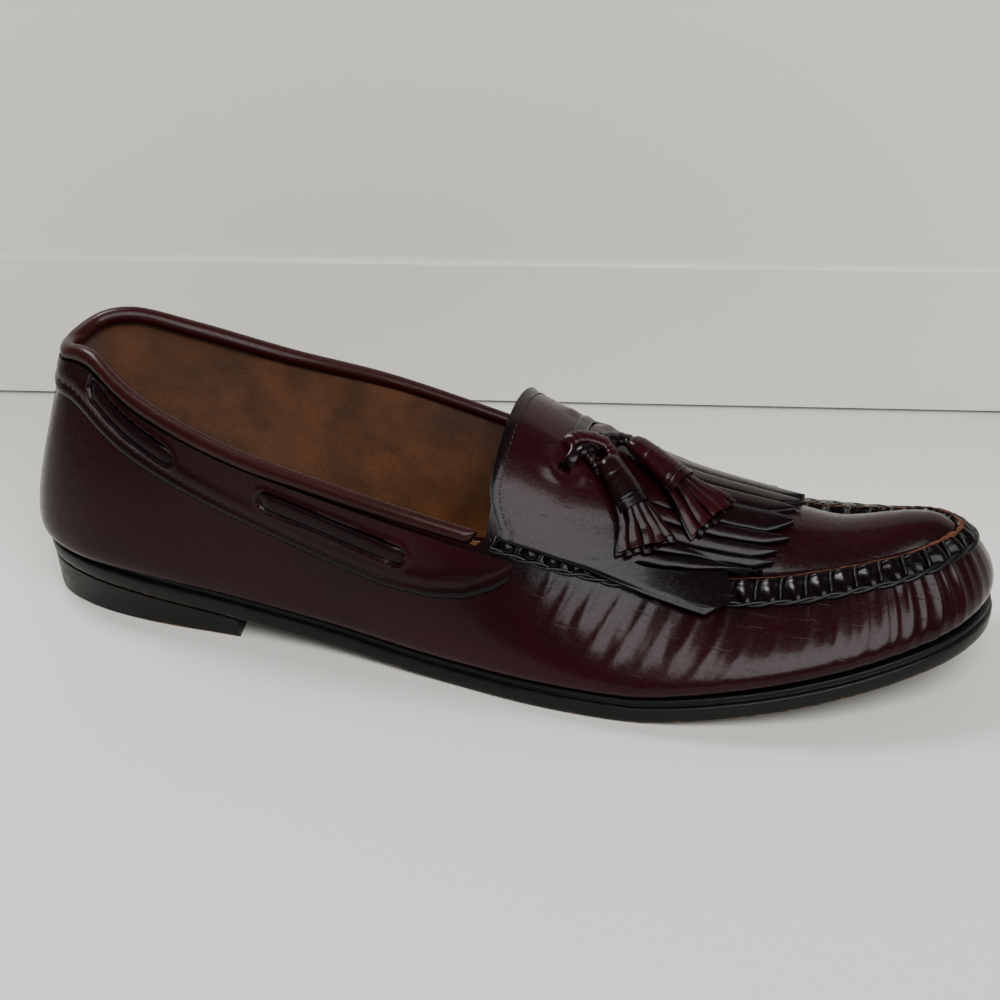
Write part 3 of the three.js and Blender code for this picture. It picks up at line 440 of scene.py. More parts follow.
class Shape:
    """Patches of points and faces that become one welded mesh. Each face has a material slot, and each
    point may have named values for the materials to read."""

    def __init__(self, *names):
        self.points, self.faces, self.slots, self.count = [], [], [], 0
        self.values = {name: [] for name in names}

    def add(self, points, faces, slot=0, **values):
        points = np.asarray(points, float).reshape(-1, 3)
        self.points.append(points)
        self.faces.append(faces + self.count)
        self.slots.append(np.broadcast_to(slot, len(faces)))
        for name, kept in self.values.items():
            value = np.asarray(values.get(name, 0.0), float)
            kept.append(np.broadcast_to(value.ravel() if value.ndim else value, len(points)))
        self.count += len(points)

    def grid(self, points, slot=0, close=(False, False), **values):
        """A net of points with a face in each cell, closed on itself along either direction."""
        rows, cols = points.shape[:2]
        index = np.arange(rows * cols).reshape(rows, cols)
        index = np.vstack([index, index[:1]]) if close[0] else index
        index = np.hstack([index, index[:, :1]]) if close[1] else index
        a, b, c, d = index[:-1, :-1], index[1:, :-1], index[1:, 1:], index[:-1, 1:]
        self.add(points, np.stack([a, b, c, d], -1).reshape(-1, 4), slot, **values)

    def cap(self, ring, shade=1.0):
        """Closes a tube's end: its ring of points drawn in to their mean."""
        net = np.concatenate([ring, np.broadcast_to(ring.mean(1, keepdims=True), ring.shape)])
        self.grid(net, close=(False, True), shade=shade)

    def wall(self, outer, inner, has=None, slots=(0, 0, 0), close=False, **values):
        """Two nets of points joined into a closed wall, with a side wherever a cell has no neighbour."""
        rows, cols = outer.shape[:2]
        index = np.arange(rows * cols).reshape(rows, cols)
        index = np.vstack([index, index[:1]]) if close else index
        shape = (index.shape[0] - 1, cols - 1)
        has = np.ones(shape, bool) if has is None else has
        a, b, c, d = index[:-1, :-1], index[1:, :-1], index[1:, 1:], index[:-1, 1:]
        n = rows * cols
        around = np.pad(has, 1)
        if close:
            around[0], around[-1] = around[-2], around[1]
        sides = []
        for p, q, next_to in ((a, b, around[1:-1, :-2]), (b, c, around[2:, 1:-1]),
                              (c, d, around[1:-1, 2:]), (d, a, around[:-2, 1:-1])):
            edge = has & ~next_to
            sides.append(np.stack([q[edge], p[edge], p[edge] + n, q[edge] + n], -1))
        top = np.stack([a, b, c, d], -1)[has]
        under = np.stack([a, d, c, b], -1)[has] + n
        side = np.concatenate(sides)
        slot = np.repeat(slots, (len(top), len(under), len(side)))
        both = {name: np.tile(np.broadcast_to(value, (rows, cols)).ravel(), 2) for name,
                value in values.items()}
        points = np.concatenate([outer.reshape(-1, 3), inner.reshape(-1, 3)])
        self.add(points, np.concatenate([top, under, side]), slot, **both)

    def tubes(self, paths, radius, sides=6, flat=1.0, turn=None, slot=0, **values):
        """Round or flat sections carried along many paths at once, closed at both ends:
        path + r (cos a · side + flat · sin a · up)."""
        paths = np.asarray(paths, float)
        paths = paths[None] if paths.ndim == 2 else paths
        count, steps = paths.shape[:2]
        along = unit(np.gradient(paths, axis=1))
        up = np.broadcast_to((0.0, 0.0, 1.0), paths.shape) if turn is None else turn
        side = unit(np.cross(along, up))
        up = np.cross(side, along)
        taper = np.ones(steps)
        taper[[0, -1]], taper[[1, -2]] = 0.02, 0.8
        r = np.broadcast_to(radius, (count, steps)) * taper
        a = np.linspace(0, 2 * np.pi, sides, endpoint=False)
        ring = (np.cos(a)[:, None] * side[..., None, :] + flat * np.sin(a)[:, None] * up[..., None, :])
        points = paths[..., None, :] + ring * r[..., None, None]
        self.add(points, tube_faces(count, steps, sides), slot, **values)

    def piece(self, name, materials, replaces=(), slot=None, sharp=40, weld=0.004 * MM):
        """Welds the patches, turns the faces outwards and puts the piece on the shoe."""
        faces = np.concatenate(self.faces)
        used, places = np.unique(faces, return_inverse=True)
        points, faces = np.concatenate(self.points)[used], places.reshape(faces.shape)
        mesh = bpy.data.meshes.new(name)
        mesh.vertices.add(len(points))
        mesh.vertices.foreach_set("co", points.astype(np.float32).ravel())
        mesh.loops.add(faces.size)
        mesh.loops.foreach_set("vertex_index", faces.astype(np.int32).ravel())
        mesh.polygons.add(len(faces))
        mesh.polygons.foreach_set("loop_start", np.arange(len(faces), dtype=np.int32) * 4)
        for material in materials:
            mesh.materials.append(material)
        mesh.polygons.foreach_set("material_index", np.concatenate(self.slots).astype(np.int32))
        for key, kept in self.values.items():
            layer = mesh.attributes.new(key, "FLOAT", "POINT")
            layer.data.foreach_set("value", np.concatenate(kept)[used].astype(np.float32))
        mesh.update()
        net = bmesh.new()
        net.from_mesh(mesh)
        bmesh.ops.remove_doubles(net, verts=net.verts, dist=weld)
        bmesh.ops.recalc_face_normals(net, faces=net.faces)
        net.to_mesh(mesh)
        net.free()
        mesh.polygons.foreach_set("use_smooth", np.ones(len(mesh.polygons), bool))
        mesh.set_sharp_from_angle(angle=np.radians(sharp))
        piece = bpy.data.objects.new(name, mesh)
        bpy.context.scene.collection.objects.link(piece)
        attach(piece, "root")
        if replaces:
            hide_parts(*replaces)
        return piece


def capsules(shape, centres, along, up, length, width, height, slot=0, sides=6, **values):
    """Small rounded stitches: a unit capsule turned and stretched to each place."""
    centres, along, up = np.asarray(centres), unit(np.asarray(along)), np.asarray(up)
    reach = np.array([-1, -0.85, -0.4, 0.4, 0.85, 1]) * 0.5
    thick = np.array([0.02, 0.62, 1, 1, 0.62, 0.02])
    side = unit(np.cross(along, up))
    paths = centres[:, None] + along[:, None] * (reach * length)[None, :, None]
    up = unit(np.cross(side, along))
    a = np.linspace(0, 2 * np.pi, sides, endpoint=False)
    ring = (np.cos(a)[None, :, None] * side[:, None] * width / 2
            + np.sin(a)[None, :, None] * up[:, None] * height / 2)
    points = paths[:, :, None] + ring[:, None] * thick[None, :, None, None]
    shape.add(points, tube_faces(len(centres), len(reach), sides, closed=False), slot, **values)


def add(tree, kind, inputs=(), **settings):
    """Adds a node with its settings, and sets or links its inputs."""
    node = tree.nodes.new(kind)
    for key, value in settings.items():
        setattr(node, key, value)
    for key, value in dict(inputs).items():
        if isinstance(value, bpy.types.NodeSocket):
            tree.links.new(value, node.inputs[key])
        else:
            node.inputs[key].default_value = value
    return node


def material(name, **shader):
    """A new material with its surface shader. Returns it with its tree, its shader and its coordinates."""
    made = bpy.data.materials.new(name)
    made.use_nodes = True
    tree = made.node_tree
    surface = tree.nodes["Principled BSDF"]
    for key, value in shader.items():
        surface.inputs[SOCKETS[key]].default_value = value
    place = add(tree, "ShaderNodeTexCoord").outputs["Object"]
    return made, tree, surface, place


SOCKETS = {"ior": "IOR", "specular": "Specular IOR Level", "base": "Base Color", "coat_ior": "Coat IOR",
           "roughness": "Roughness", "coat": "Coat Weight", "coat_roughness": "Coat Roughness",
           "sheen": "Sheen Weight", "sheen_roughness": "Sheen Roughness"}


def rgba(value):
    return (*value, 1)


def calf(name, light, dark, lean=0.0, gloss=0.17, coat=0.05):
    """Box calf, brushed off: dyed red, dressed dark and polished. The finish is glossy over a fine tight
    grain, with light scratches. The shade attribute mixes it from red, where the finish is thin and handled,
    to near black: partly the real dark dressing at seams and folds, partly painted shade in folds, recesses
    and on sides turned from the light, and painted light where the shade runs low."""
    made, tree, surface, place = material(name, coat=coat, coat_roughness=0.1, ior=1.46, specular=0.14)
    shade = add(tree, "ShaderNodeAttribute", attribute_name="shade").outputs["Fac"]
    cloud = add(tree, "ShaderNodeTexNoise", {"Vector": place, "Scale": 45, "Detail": 4}).outputs["Fac"]
    speck = add(tree, "ShaderNodeTexNoise", {"Vector": place, "Scale": 900, "Detail": 3}).outputs["Fac"]
    uneven = add(tree, "ShaderNodeMath", {0: cloud, 1: 0.55, 2: lean - 0.28},
                 operation="MULTIPLY_ADD").outputs[0]
    grainy = add(tree, "ShaderNodeMath", {0: speck, 1: 0.3, 2: -0.15}, operation="MULTIPLY_ADD").outputs[0]
    total = add(tree, "ShaderNodeMath", {0: shade, 1: uneven}, operation="ADD").outputs[0]
    total = add(tree, "ShaderNodeMath", {0: total, 1: grainy}, operation="ADD", use_clamp=True).outputs[0]
    tone = add(tree, "ShaderNodeMix", {0: total, 6: rgba(light), 7: rgba(dark)}, data_type="RGBA").outputs[2]
    tree.links.new(tone, surface.inputs["Base Color"])
    grain = add(tree, "ShaderNodeTexVoronoi", {"Vector": place, "Scale": 1600},
                feature="SMOOTH_F1").outputs["Distance"]
    wave = add(tree, "ShaderNodeTexNoise", {"Vector": place, "Scale": 110, "Detail": 3}).outputs["Fac"]
    stretch = add(tree, "ShaderNodeMapping", {"Vector": place, "Scale": (60, 900, 260),
                                              "Rotation": (0.3, 0.5, 0.6)})
    scratch = add(tree, "ShaderNodeTexNoise", {"Vector": stretch.outputs[0], "Scale": 1,
                                               "Detail": 2}).outputs["Fac"]
    scratch = add(tree, "ShaderNodeMapRange", {0: scratch, 1: 0.66, 2: 0.72, 3: 0, 4: 1}).outputs[0]
    rough = add(tree, "ShaderNodeMapRange", {0: speck, 1: 0.3, 2: 0.75, 3: gloss, 4: gloss
                                             + 0.16}).outputs[0]
    rough = add(tree, "ShaderNodeMath", {0: scratch, 1: 0.16, 2: rough}, operation="MULTIPLY_ADD").outputs[0]
    tree.links.new(rough, surface.inputs["Roughness"])
    fine = add(tree, "ShaderNodeBump", {"Height": grain, "Strength": 0.12, "Distance": 0.0001}).outputs[0]
    cut = add(tree, "ShaderNodeBump", {"Height": scratch, "Normal": fine, "Strength": 0.25,
                                       "Distance": 0.0001},
              invert=True).outputs[0]
    soft = add(tree, "ShaderNodeBump", {"Height": wave, "Normal": cut, "Strength": 0.16,
                                        "Distance": 0.0006}).outputs[0]
    tree.links.new(soft, surface.inputs["Normal"])
    tree.links.new(soft, surface.inputs["Coat Normal"])
    return made


def dressed_edge(name, tone, worn_tone=None, roughness=0.42):
    """Cut leather sealed with black edge dressing: satin, slightly fibrous, tan where it has worn off."""
    made, tree, surface, place = material(name, ior=1.46, specular=0.2)
    along = add(tree, "ShaderNodeMapping", {"Vector": place, "Scale": (160, 160, 1500)}).outputs[0]
    fibre = add(tree, "ShaderNodeTexNoise", {"Vector": along, "Scale": 1, "Detail": 5}).outputs["Fac"]
    speck = add(tree, "ShaderNodeTexNoise", {"Vector": place, "Scale": 420, "Detail": 4}).outputs["Fac"]
    base = add(tree, "ShaderNodeMix", {0: speck, 6: rgba(tone), 7: rgba(c * 1.9 + 0.002 for c in tone)},
               data_type="RGBA").outputs[2]
    if worn_tone:
        worn = add(tree, "ShaderNodeAttribute", attribute_name="worn").outputs["Fac"]
        worn = add(tree, "ShaderNodeMath", {0: speck, 1: 0.9, 2: worn}, operation="MULTIPLY_ADD").outputs[0]
        worn = add(tree, "ShaderNodeMapRange", {0: worn, 1: 0.95, 2: 1.15, 3: 0, 4: 1}).outputs[0]
        base = add(tree, "ShaderNodeMix", {0: worn, 6: base, 7: rgba(worn_tone)},
                   data_type="RGBA").outputs[2]
    tree.links.new(base, surface.inputs["Base Color"])
    rough = add(tree, "ShaderNodeMapRange", {0: fibre, 1: 0.3, 2: 0.7, 3: roughness - 0.08,
                                             4: roughness + 0.14})
    tree.links.new(rough.outputs[0], surface.inputs["Roughness"])
    bump = add(tree, "ShaderNodeBump", {"Height": fibre, "Strength": 0.3, "Distance": 0.0002}).outputs[0]
    tree.links.new(bump, surface.inputs["Normal"])
    return made


def waxed_thread(name, tone):
    """Waxed linen thread: black, plied, with a dull shine."""
    made, tree, surface, place = material(name, ior=1.46, base=rgba(tone), roughness=0.36, specular=0.3)
    ply = add(tree, "ShaderNodeTexNoise", {"Vector": place, "Scale": 2600, "Detail": 2}).outputs["Fac"]
    bump = add(tree, "ShaderNodeBump", {"Height": ply, "Strength": 0.35, "Distance": 0.00015}).outputs[0]
    tree.links.new(bump, surface.inputs["Normal"])
    return made


def raw_leather(name, light, dark, scale=700):
    """Cut, undressed leather: matt and fibrous, with darker stains."""
    made, tree, surface, place = material(name, ior=1.45, roughness=0.8, specular=0.2)
    fibre = add(tree, "ShaderNodeTexNoise", {"Vector": place, "Scale": scale, "Detail": 6}).outputs["Fac"]
    spread = add(tree, "ShaderNodeMapRange", {0: fibre, 1: 0.32, 2: 0.68, 3: 0, 4: 1}).outputs[0]
    tone = add(tree, "ShaderNodeMix", {0: spread, 6: rgba(dark), 7: rgba(light)},
               data_type="RGBA").outputs[2]
    tree.links.new(tone, surface.inputs["Base Color"])
    bump = add(tree, "ShaderNodeBump", {"Height": fibre, "Strength": 0.5, "Distance": 0.0003}).outputs[0]
    tree.links.new(bump, surface.inputs["Normal"])
    return made


def suede(name, light, dark):
    """Split suede lining: napped, so it is matt with a soft sheen, and blotched where the nap lies down."""
    made, tree, surface, place = material(name, ior=1.4, roughness=0.95, specular=0.1, sheen=0.35,
                                          sheen_roughness=0.5)
    nap = add(tree, "ShaderNodeTexNoise", {"Vector": place, "Scale": 1300, "Detail": 5}).outputs["Fac"]
    blotch = add(tree, "ShaderNodeTexNoise", {"Vector": place, "Scale": 70, "Detail": 6}).outputs["Fac"]
    both = add(tree, "ShaderNodeMath", {0: nap, 1: 0.45, 2: blotch}, operation="MULTIPLY_ADD").outputs[0]
    spread = add(tree, "ShaderNodeMapRange", {0: both, 1: 0.55, 2: 0.9, 3: 0, 4: 1}).outputs[0]
    tone = add(tree, "ShaderNodeMix", {0: spread, 6: rgba(dark), 7: rgba(light)},
               data_type="RGBA").outputs[2]
    tree.links.new(tone, surface.inputs["Base Color"])
    bump = add(tree, "ShaderNodeBump", {"Height": both, "Strength": 0.45, "Distance": 0.0004}).outputs[0]
    tree.links.new(bump, surface.inputs["Normal"])
    return made


def punched_sock(name, tone):
    """Thin lining leather with pinholes 4 mm apart: a Voronoi net without randomness places them."""
    made, tree, surface, place = material(name, ior=1.45, roughness=0.55, specular=0.3)
    level = add(tree, "ShaderNodeMapping", {"Vector": place, "Scale": (1, 1, 0)}).outputs[0]
    cell = add(tree, "ShaderNodeTexVoronoi", {"Vector": level, "Scale": 250,
                                              "Randomness": 0}).outputs["Distance"]
    hole = add(tree, "ShaderNodeMapRange", {0: cell, 1: 0.11, 2: 0.16, 3: 1, 4: 0}).outputs[0]
    cloud = add(tree, "ShaderNodeTexNoise", {"Vector": place, "Scale": 60, "Detail": 4}).outputs["Fac"]
    base = add(tree, "ShaderNodeMix", {0: cloud, 6: rgba(tone), 7: rgba(c * 0.4 for c in tone)},
               data_type="RGBA")
    # The pinholes are painted near black: painted shade inside each hole.
    base = add(tree, "ShaderNodeMix", {0: hole, 6: base.outputs[2], 7: (0.001, 0.001, 0.001, 1)},
               data_type="RGBA")
    tree.links.new(base.outputs[2], surface.inputs["Base Color"])
    bump = add(tree, "ShaderNodeBump", {"Height": hole, "Strength": 0.6, "Distance": 0.0003},
               invert=True).outputs[0]
    tree.links.new(bump, surface.inputs["Normal"])
    return made


def finishes():
    """The shoe's materials, made once."""
    if "box_calf" not in bpy.data.materials:
        tone = bpy.context.scene.loafer_colours
        calf("box_calf", tone.burgundy, tone.burgundy_dark)
        calf("collar_calf", tone.collar_red, tone.burgundy_dark, lean=-0.2, gloss=0.3, coat=0.1)
        dressed_edge("cut_edge", tone.edge_black)
        dressed_edge("sole_edge", tone.sole_black, tone.sole_tan, roughness=0.36)
        waxed_thread("waxed_thread", tone.thread_black)
        raw_leather("raw_edge", tone.raw_edge, tuple(c * 0.35 for c in tone.raw_edge))
        raw_leather("sole_leather", tone.sole_tan, tuple(c * 0.3 for c in tone.sole_tan), 260)
        suede("suede_lining", tone.suede, tone.suede_dark)
        punched_sock("punched_sock", tone.sock)
    return bpy.data.materials


def loafer():
    """The last, from the sizes in the panel."""
    return Last(bpy.context.scene.loafer_sizes)


def plate(shape, last, rows, levels, across=24, bow=0.0, slots=(0, 0, 0), worn=None):
    """A sole layer: at each level (inset, z) a net between the outer and the inner edge. The first and
    the last net close it, and the edges of all of them make its side."""
    nets = []
    share = np.linspace(0, 1, across + 1)
    for inset, z in levels:
        outer = last.outward(rows, -np.broadcast_to(inset, rows.shape), z(rows))
        inner = last.outward(RING - rows, -np.broadcast_to(inset, rows.shape), z(rows))
        net = outer[:, None] + (inner - outer)[:, None] * share[None, :, None]
        net[..., 0] -= (np.asarray(bow) * np.ones_like(rows))[:, None] * 4 * share * (1 - share)
        nets.append(net)
    shape.grid(nets[0], slot=slots[0], worn=0)
    shape.grid(nets[-1], slot=slots[2], worn=0.6)
    rims = np.stack([np.concatenate([n[:, 0], n[-1, 1:], n[-2::-1, -1], n[0, -2:0:-1]]) for n in nets])
    wear = np.zeros(rims.shape[:2]) if worn is None else worn(rims)
    shape.grid(rims, slot=slots[1], close=(False, True), worn=wear)
    return rims


class LOAFER_OT_sole(bpy.types.Operator):
    """Makes the outsole and the welt line over it"""
    bl_idname = "loafer.sole"
    bl_label = "Outsole and welt"

    def execute(self, context):
        last, kit = loafer(), finishes()
        s = last.size
        rows = np.concatenate([np.linspace(0, 0.6, 12), np.linspace(0.65, 12.3, 160),
                               np.linspace(12.35, TOE, 16)])
        rounding = ((3.0, 0), (0.5, 0), (0.12, 0.25), (0, 0.6), (0.1, 2.6), (0.25, 3.6), (0.42, 4.5),
                    (0.75, 4.95), (1.3, 5.2))
        levels = [(inset * MM, lambda t, down=down: last.bottom(t) + s.outsole - down * s.outsole / 5.2)
                  for inset, down in rounding]
        shape = Shape("worn", "shade")

        def worn(rims):
            depth = np.array([down for _, down in rounding]) / 5.2
            x = rims[..., 0]
            ahead = smooth((x - 10 * MM) / (120 * MM)) * 0.3
            behind = smooth((-70 * MM - x) / (40 * MM)) * 0.05
            return (smooth((depth[:, None] - 0.62) / 0.38) * (0.62 + 0.2 * ahead + behind)
                    + ahead * depth[:, None] * 0.35)

        plate(shape, last, rows, levels, slots=(0, 0, 1), worn=worn)
        shape.piece("outsole_leather", [kit["sole_edge"], kit["sole_leather"]], ["outsole"],
                    "sole_leather", sharp=50)
        welt = Shape("worn", "shade")
        fade = smooth((rows - 4.2) / 2.0)
        rounding = ((4.0, 0), (0.9, 0), (0.55, 0.2), (0.4, 0.55), (0.45, 1.25), (0.8, 1.5), (0.5, 1.75),
                    (0.6, 2.2))
        levels = [((inset + 0.2 + (1 - fade) * 0.55) * MM,
                   lambda t, down=down: last.foot(t) - s.joint_gap - down * s.midsole / 2.2)
                  for inset, down in rounding]
        plate(welt, last, rows, levels)
        welt.piece("welt_line", [kit["cut_edge"]], ["midsole"], "sole_leather", sharp=50)
        return {"FINISHED"}


class LOAFER_OT_heel(bpy.types.Operator):
    """Makes the heel block with its tan breast"""
    bl_idname = "loafer.heel"
    bl_label = "Heel"

    def execute(self, context):
        last, kit = loafer(), finishes()
        s = last.size
        breast = 4.05
        rows = np.concatenate([np.linspace(0, 0.6, 14), np.linspace(0.65, breast, 70)])
        bow = s.breast_curve * smooth(rows - breast + 1)
        shares = ((0.25, 0), (0, 0.03), (0, 0.5), (0.02, 0.9), (0.06, 0.97), (0.3, 1))
        levels = [(s.edge_taper + 0.1 * MM + (s.heel_taper - s.edge_taper) * down + inset * 2 * MM,
                   lambda t, down=down: (last.bottom(t) - s.joint_gap) * (1
                                                                          - down)) for inset, down in shares]
        shape = Shape("worn", "shade")

        def worn(rims):
            depth = np.array([down for _, down in shares])
            ahead = smooth((rims[..., 0] + 125 * MM) / (30 * MM))
            return smooth((depth[:, None] - 0.8) / 0.2) * (0.25 + 0.55 * ahead)

        rims = plate(shape, last, rows, levels, slots=(0, 0, 1), bow=bow, worn=worn)
        faces = len(shape.faces[-1])
        around = rims.shape[1]
        column = np.tile(np.arange(around), faces // around)
        on_breast = (column >= len(rows) - 1) & (column < len(rows) + 23)
        shape.slots[-1] = np.where(on_breast, 1, 0)
        shape.piece("heel_block", [kit["sole_edge"], kit["sole_leather"]], ["heel"], "sole_leather",
                    sharp=45)
        return {"FINISHED"}


class LOAFER_OT_sock(bpy.types.Operator):
    """Makes the insole with its punched sock"""
    bl_idname = "loafer.sock"
    bl_label = "Sock"

    def execute(self, context):
        last, kit = loafer(), finishes()
        s = last.size
        rows = np.concatenate([np.linspace(0, 0.6, 12), np.linspace(0.65, 12.3, 110),
                               np.linspace(12.35, TOE, 16)])
        inset = last.ledge(rows) + s.wall + s.joint_gap
        levels = [(inset + 1.2 * MM, lambda t: last.foot(t) + s.insole),
                  (inset + 0.3 * MM, lambda t: last.foot(t) + s.insole - 0.25 * MM),
                  (inset, lambda t: last.foot(t) + s.insole - 0.9 * MM),
                  (inset, lambda t: last.foot(t))]
        shape = Shape("worn", "shade")
        plate(shape, last, rows, levels)
        shape.piece("sock", [kit["punched_sock"]], ["insole"], "sock_leather", sharp=50)
        return {"FINISHED"}


def gather(last, t, depth):
    """The wall's puckers under the seam: one crest a stitch, fading down the wall, uneven along it."""
    s = last.size
    near = np.minimum(t, RING - t)
    way = last.length_at(t)
    lean = depth * (0.3 + 0.5 * smooth((11.5 - near) / 3)) * np.sign(TOE - t)
    turn = 2 * np.pi * (way + lean) / s.stitch_pitch + 1.1 * ripple(way / (21 * MM), 8)
    uneven = 0.6 + 0.4 * ripple(way / (9 * MM), 3)
    reach = (6.5 + 3 * ripple(way / (15 * MM), 5)) * MM
    fade = smooth((depth - 1.2 * MM) / (2.5 * MM)) * np.exp(-np.maximum(depth - 4 * MM, 0) / reach)
    coarse = 1 - 2 * np.abs(np.sin(turn / 2)) ** 0.7
    fine = 1 - 2 * np.abs(np.sin(turn * 0.93 + 0.8 * ripple(way / (12 * MM), 17))) ** 0.7
    toe = smooth((near - 9.6) / 1.4)
    wave = coarse * (1 - 0.35 * toe) + fine * (0.25 + 0.4 * toe)
    return wave * s.pucker * uneven * fade * smooth((near - 6.6) / 0.5) * (0.65 + 0.45 * toe)


def wall_relief(last, t, v):
    """How far the wall's leather stands off its plain form, puckers and soft creases together."""
    depth = (1 - v) * spline(last.up, t)
    crease = 0
    for at, high, wide, deep, tilt in ((7.35, 0.76, 0.07, 0.22, 0.2), (7.75, 0.74, 0.06, 0.18, 0.3),
                                       (8.3, 0.74, 0.05, 0.16, 0.2), (18.4, 0.74, 0.07, 0.2, -0.3),
                                       (17.9, 0.74, 0.06, 0.16, -0.2)):
        across = (t - at - tilt * (v - high)) / wide
        crease = crease - deep * MM * np.exp(-across ** 2) * np.exp(-((v - high) / 0.12) ** 2)
    return gather(last, t, depth) + crease


class LOAFER_OT_upper(bpy.types.Operator):
    """Makes the upper's wall and apron, and the suede lining inside them"""
    bl_idname = "loafer.upper"
    bl_label = "Upper"

    def execute(self, context):
        last, kit = loafer(), finishes()
        s = last.size
        rear = np.concatenate([np.linspace(0, 0.5, 10, endpoint=False),
                               np.linspace(0.5, THROAT, 80, endpoint=False)])
        front = np.linspace(THROAT, TOE, 300)
        rows = np.concatenate([rear, front])
        walls, aprons = 30, 34
        share = np.linspace(0, 1, walls + 1)
        share = np.where(share < 0.5, share * 1.1, 0.55 + (share - 0.5) * 0.9)

        def wall_side(t):
            rim = last.share_below(t, np.where(np.minimum(t, RING - t) < THROAT, 4 * MM, 0.6 * MM))
            t2, v = np.broadcast_arrays(t[:, None], rim[:, None] * share[None])
            relief = wall_relief(last, t2, v)
            outer = last.off_wall(t2, v, relief)
            inner = last.off_wall(t2, v, relief * 0.3 - 1.2 * MM)
            inner[:, 0] = last.outward(t, -last.ledge(t) - 1.2 * MM, last.foot(t) + 0.5 * MM)
            return outer, inner, t2, v

        near, far = wall_side(rows), wall_side(RING - rows)
        start = np.minimum(s.seam_width * 0.4 / np.maximum(last.apron_width(rows), 1e-6), 0.5)
        w = start[:, None] + (1 - 2 * start)[:, None] * np.linspace(0, 1, aprons + 1)[None]
        t2 = np.broadcast_to(rows[:, None], w.shape)
        top = last.worn_apron(t2, w)
        under = top - last.apron_normal(t2, w) * 1.2 * MM
        outer = np.concatenate([near[0], top, far[0][:, ::-1]], 1)
        inner = np.concatenate([near[1], under, far[1][:, ::-1]], 1)
        has = np.ones((len(rows) - 1, outer.shape[1] - 1), bool)
        closed = np.arange(has.shape[1])
        over = (closed >= walls) & (closed < has.shape[1] - walls)
        has[:len(rear), :] &= ~over[None]
        # Painted shade: the wall darkens under the seam, at its foot and round the heel. red is painted
        # light: the low wall at the waist is painted lighter and redder, as if lit.
        edge_shade = lambda t, v: (0.75 * smooth((v - 0.8) / 0.2)
                                   * smooth((np.minimum(t, RING - t) - 6.2) / 0.5)
                                   + 0.45 * smooth((0.12 - v) / 0.12)
                                   + 0.35 * smooth((2.2 - np.minimum(t, RING - t)) / 2))
        red = lambda t, v: 0.45 * np.exp(-((np.minimum(t, RING - t) - 6.6)
                                           / 1.5) ** 2) * smooth((0.7 - v) / 0.3)
        side_shade = [0.42 + edge_shade(a, b) - red(a, b) for a, b in ((near[2], near[3]), (far[2], far[3]))]
        # Painted shade on the apron: darker within 8 mm of the seams, and towards the back where the kiltie
        # lies over it.
        rim = np.minimum(np.minimum(w, 1 - w) * last.apron_width(rows)[:, None], 8 * MM) / (8 * MM)
        top_shade = 0.42 + 0.4 * (1 - rim) + 0.15 * smooth((10 - t2) / 2)
        shade = np.concatenate([side_shade[0], top_shade, side_shade[1][:, ::-1]], 1)
        shape = Shape("shade")
        shape.wall(outer, inner, has, shade=shade)
        shape.piece("upper_leather", [kit["box_calf"]], ["upper"], "burgundy_leather", sharp=60)
        self.lining(last, kit)
        return {"FINISHED"}

    def lining(self, last, kit):
        """The lining follows the wall 1.35 to 2.2 mm inside it, and the apron the same."""
        s = last.size
        rows = np.concatenate([np.linspace(0, THROAT, 70, endpoint=False), np.linspace(THROAT, TOE, 50)])
        share = np.linspace(0, 1, 15)

        def side(t, depth):
            rim = last.share_below(t, np.where(np.minimum(t, RING - t) < THROAT, 3 * MM, 2.2 * MM))
            points = last.off_wall(t[:, None], rim[:, None] * share[None], np.full((len(t), 15), -depth))
            points[:, 0] = last.outward(t, -last.ledge(t) - s.wall * 0.62 - (depth - 1.35 * MM),
                                        last.foot(t) + 0.6 * MM)
            return points

        start = np.minimum(s.seam_width * 0.62 / np.maximum(last.apron_width(rows), 1e-6), 0.5)
        w = start[:, None] + (1 - 2 * start)[:, None] * np.linspace(0, 1, 17)[None]
        t2 = np.broadcast_to(rows[:, None], w.shape)
        sheets = []
        for depth in (1.35 * MM, 2.2 * MM):
            roof = last.worn_apron(t2, w) - last.apron_normal(t2, w) * depth
            sheets.append(np.concatenate([side(rows, depth), roof, side(RING - rows, depth)[:, ::-1]], 1))
        has = np.ones((len(rows) - 1, sheets[0].shape[1] - 1), bool)
        has[:70, 14:32] = False
        shape = Shape("shade")
        shape.wall(sheets[0], sheets[1], has)
        shape.piece("suede_lining", [kit["suede_lining"]], slot="sock_leather", sharp=60)


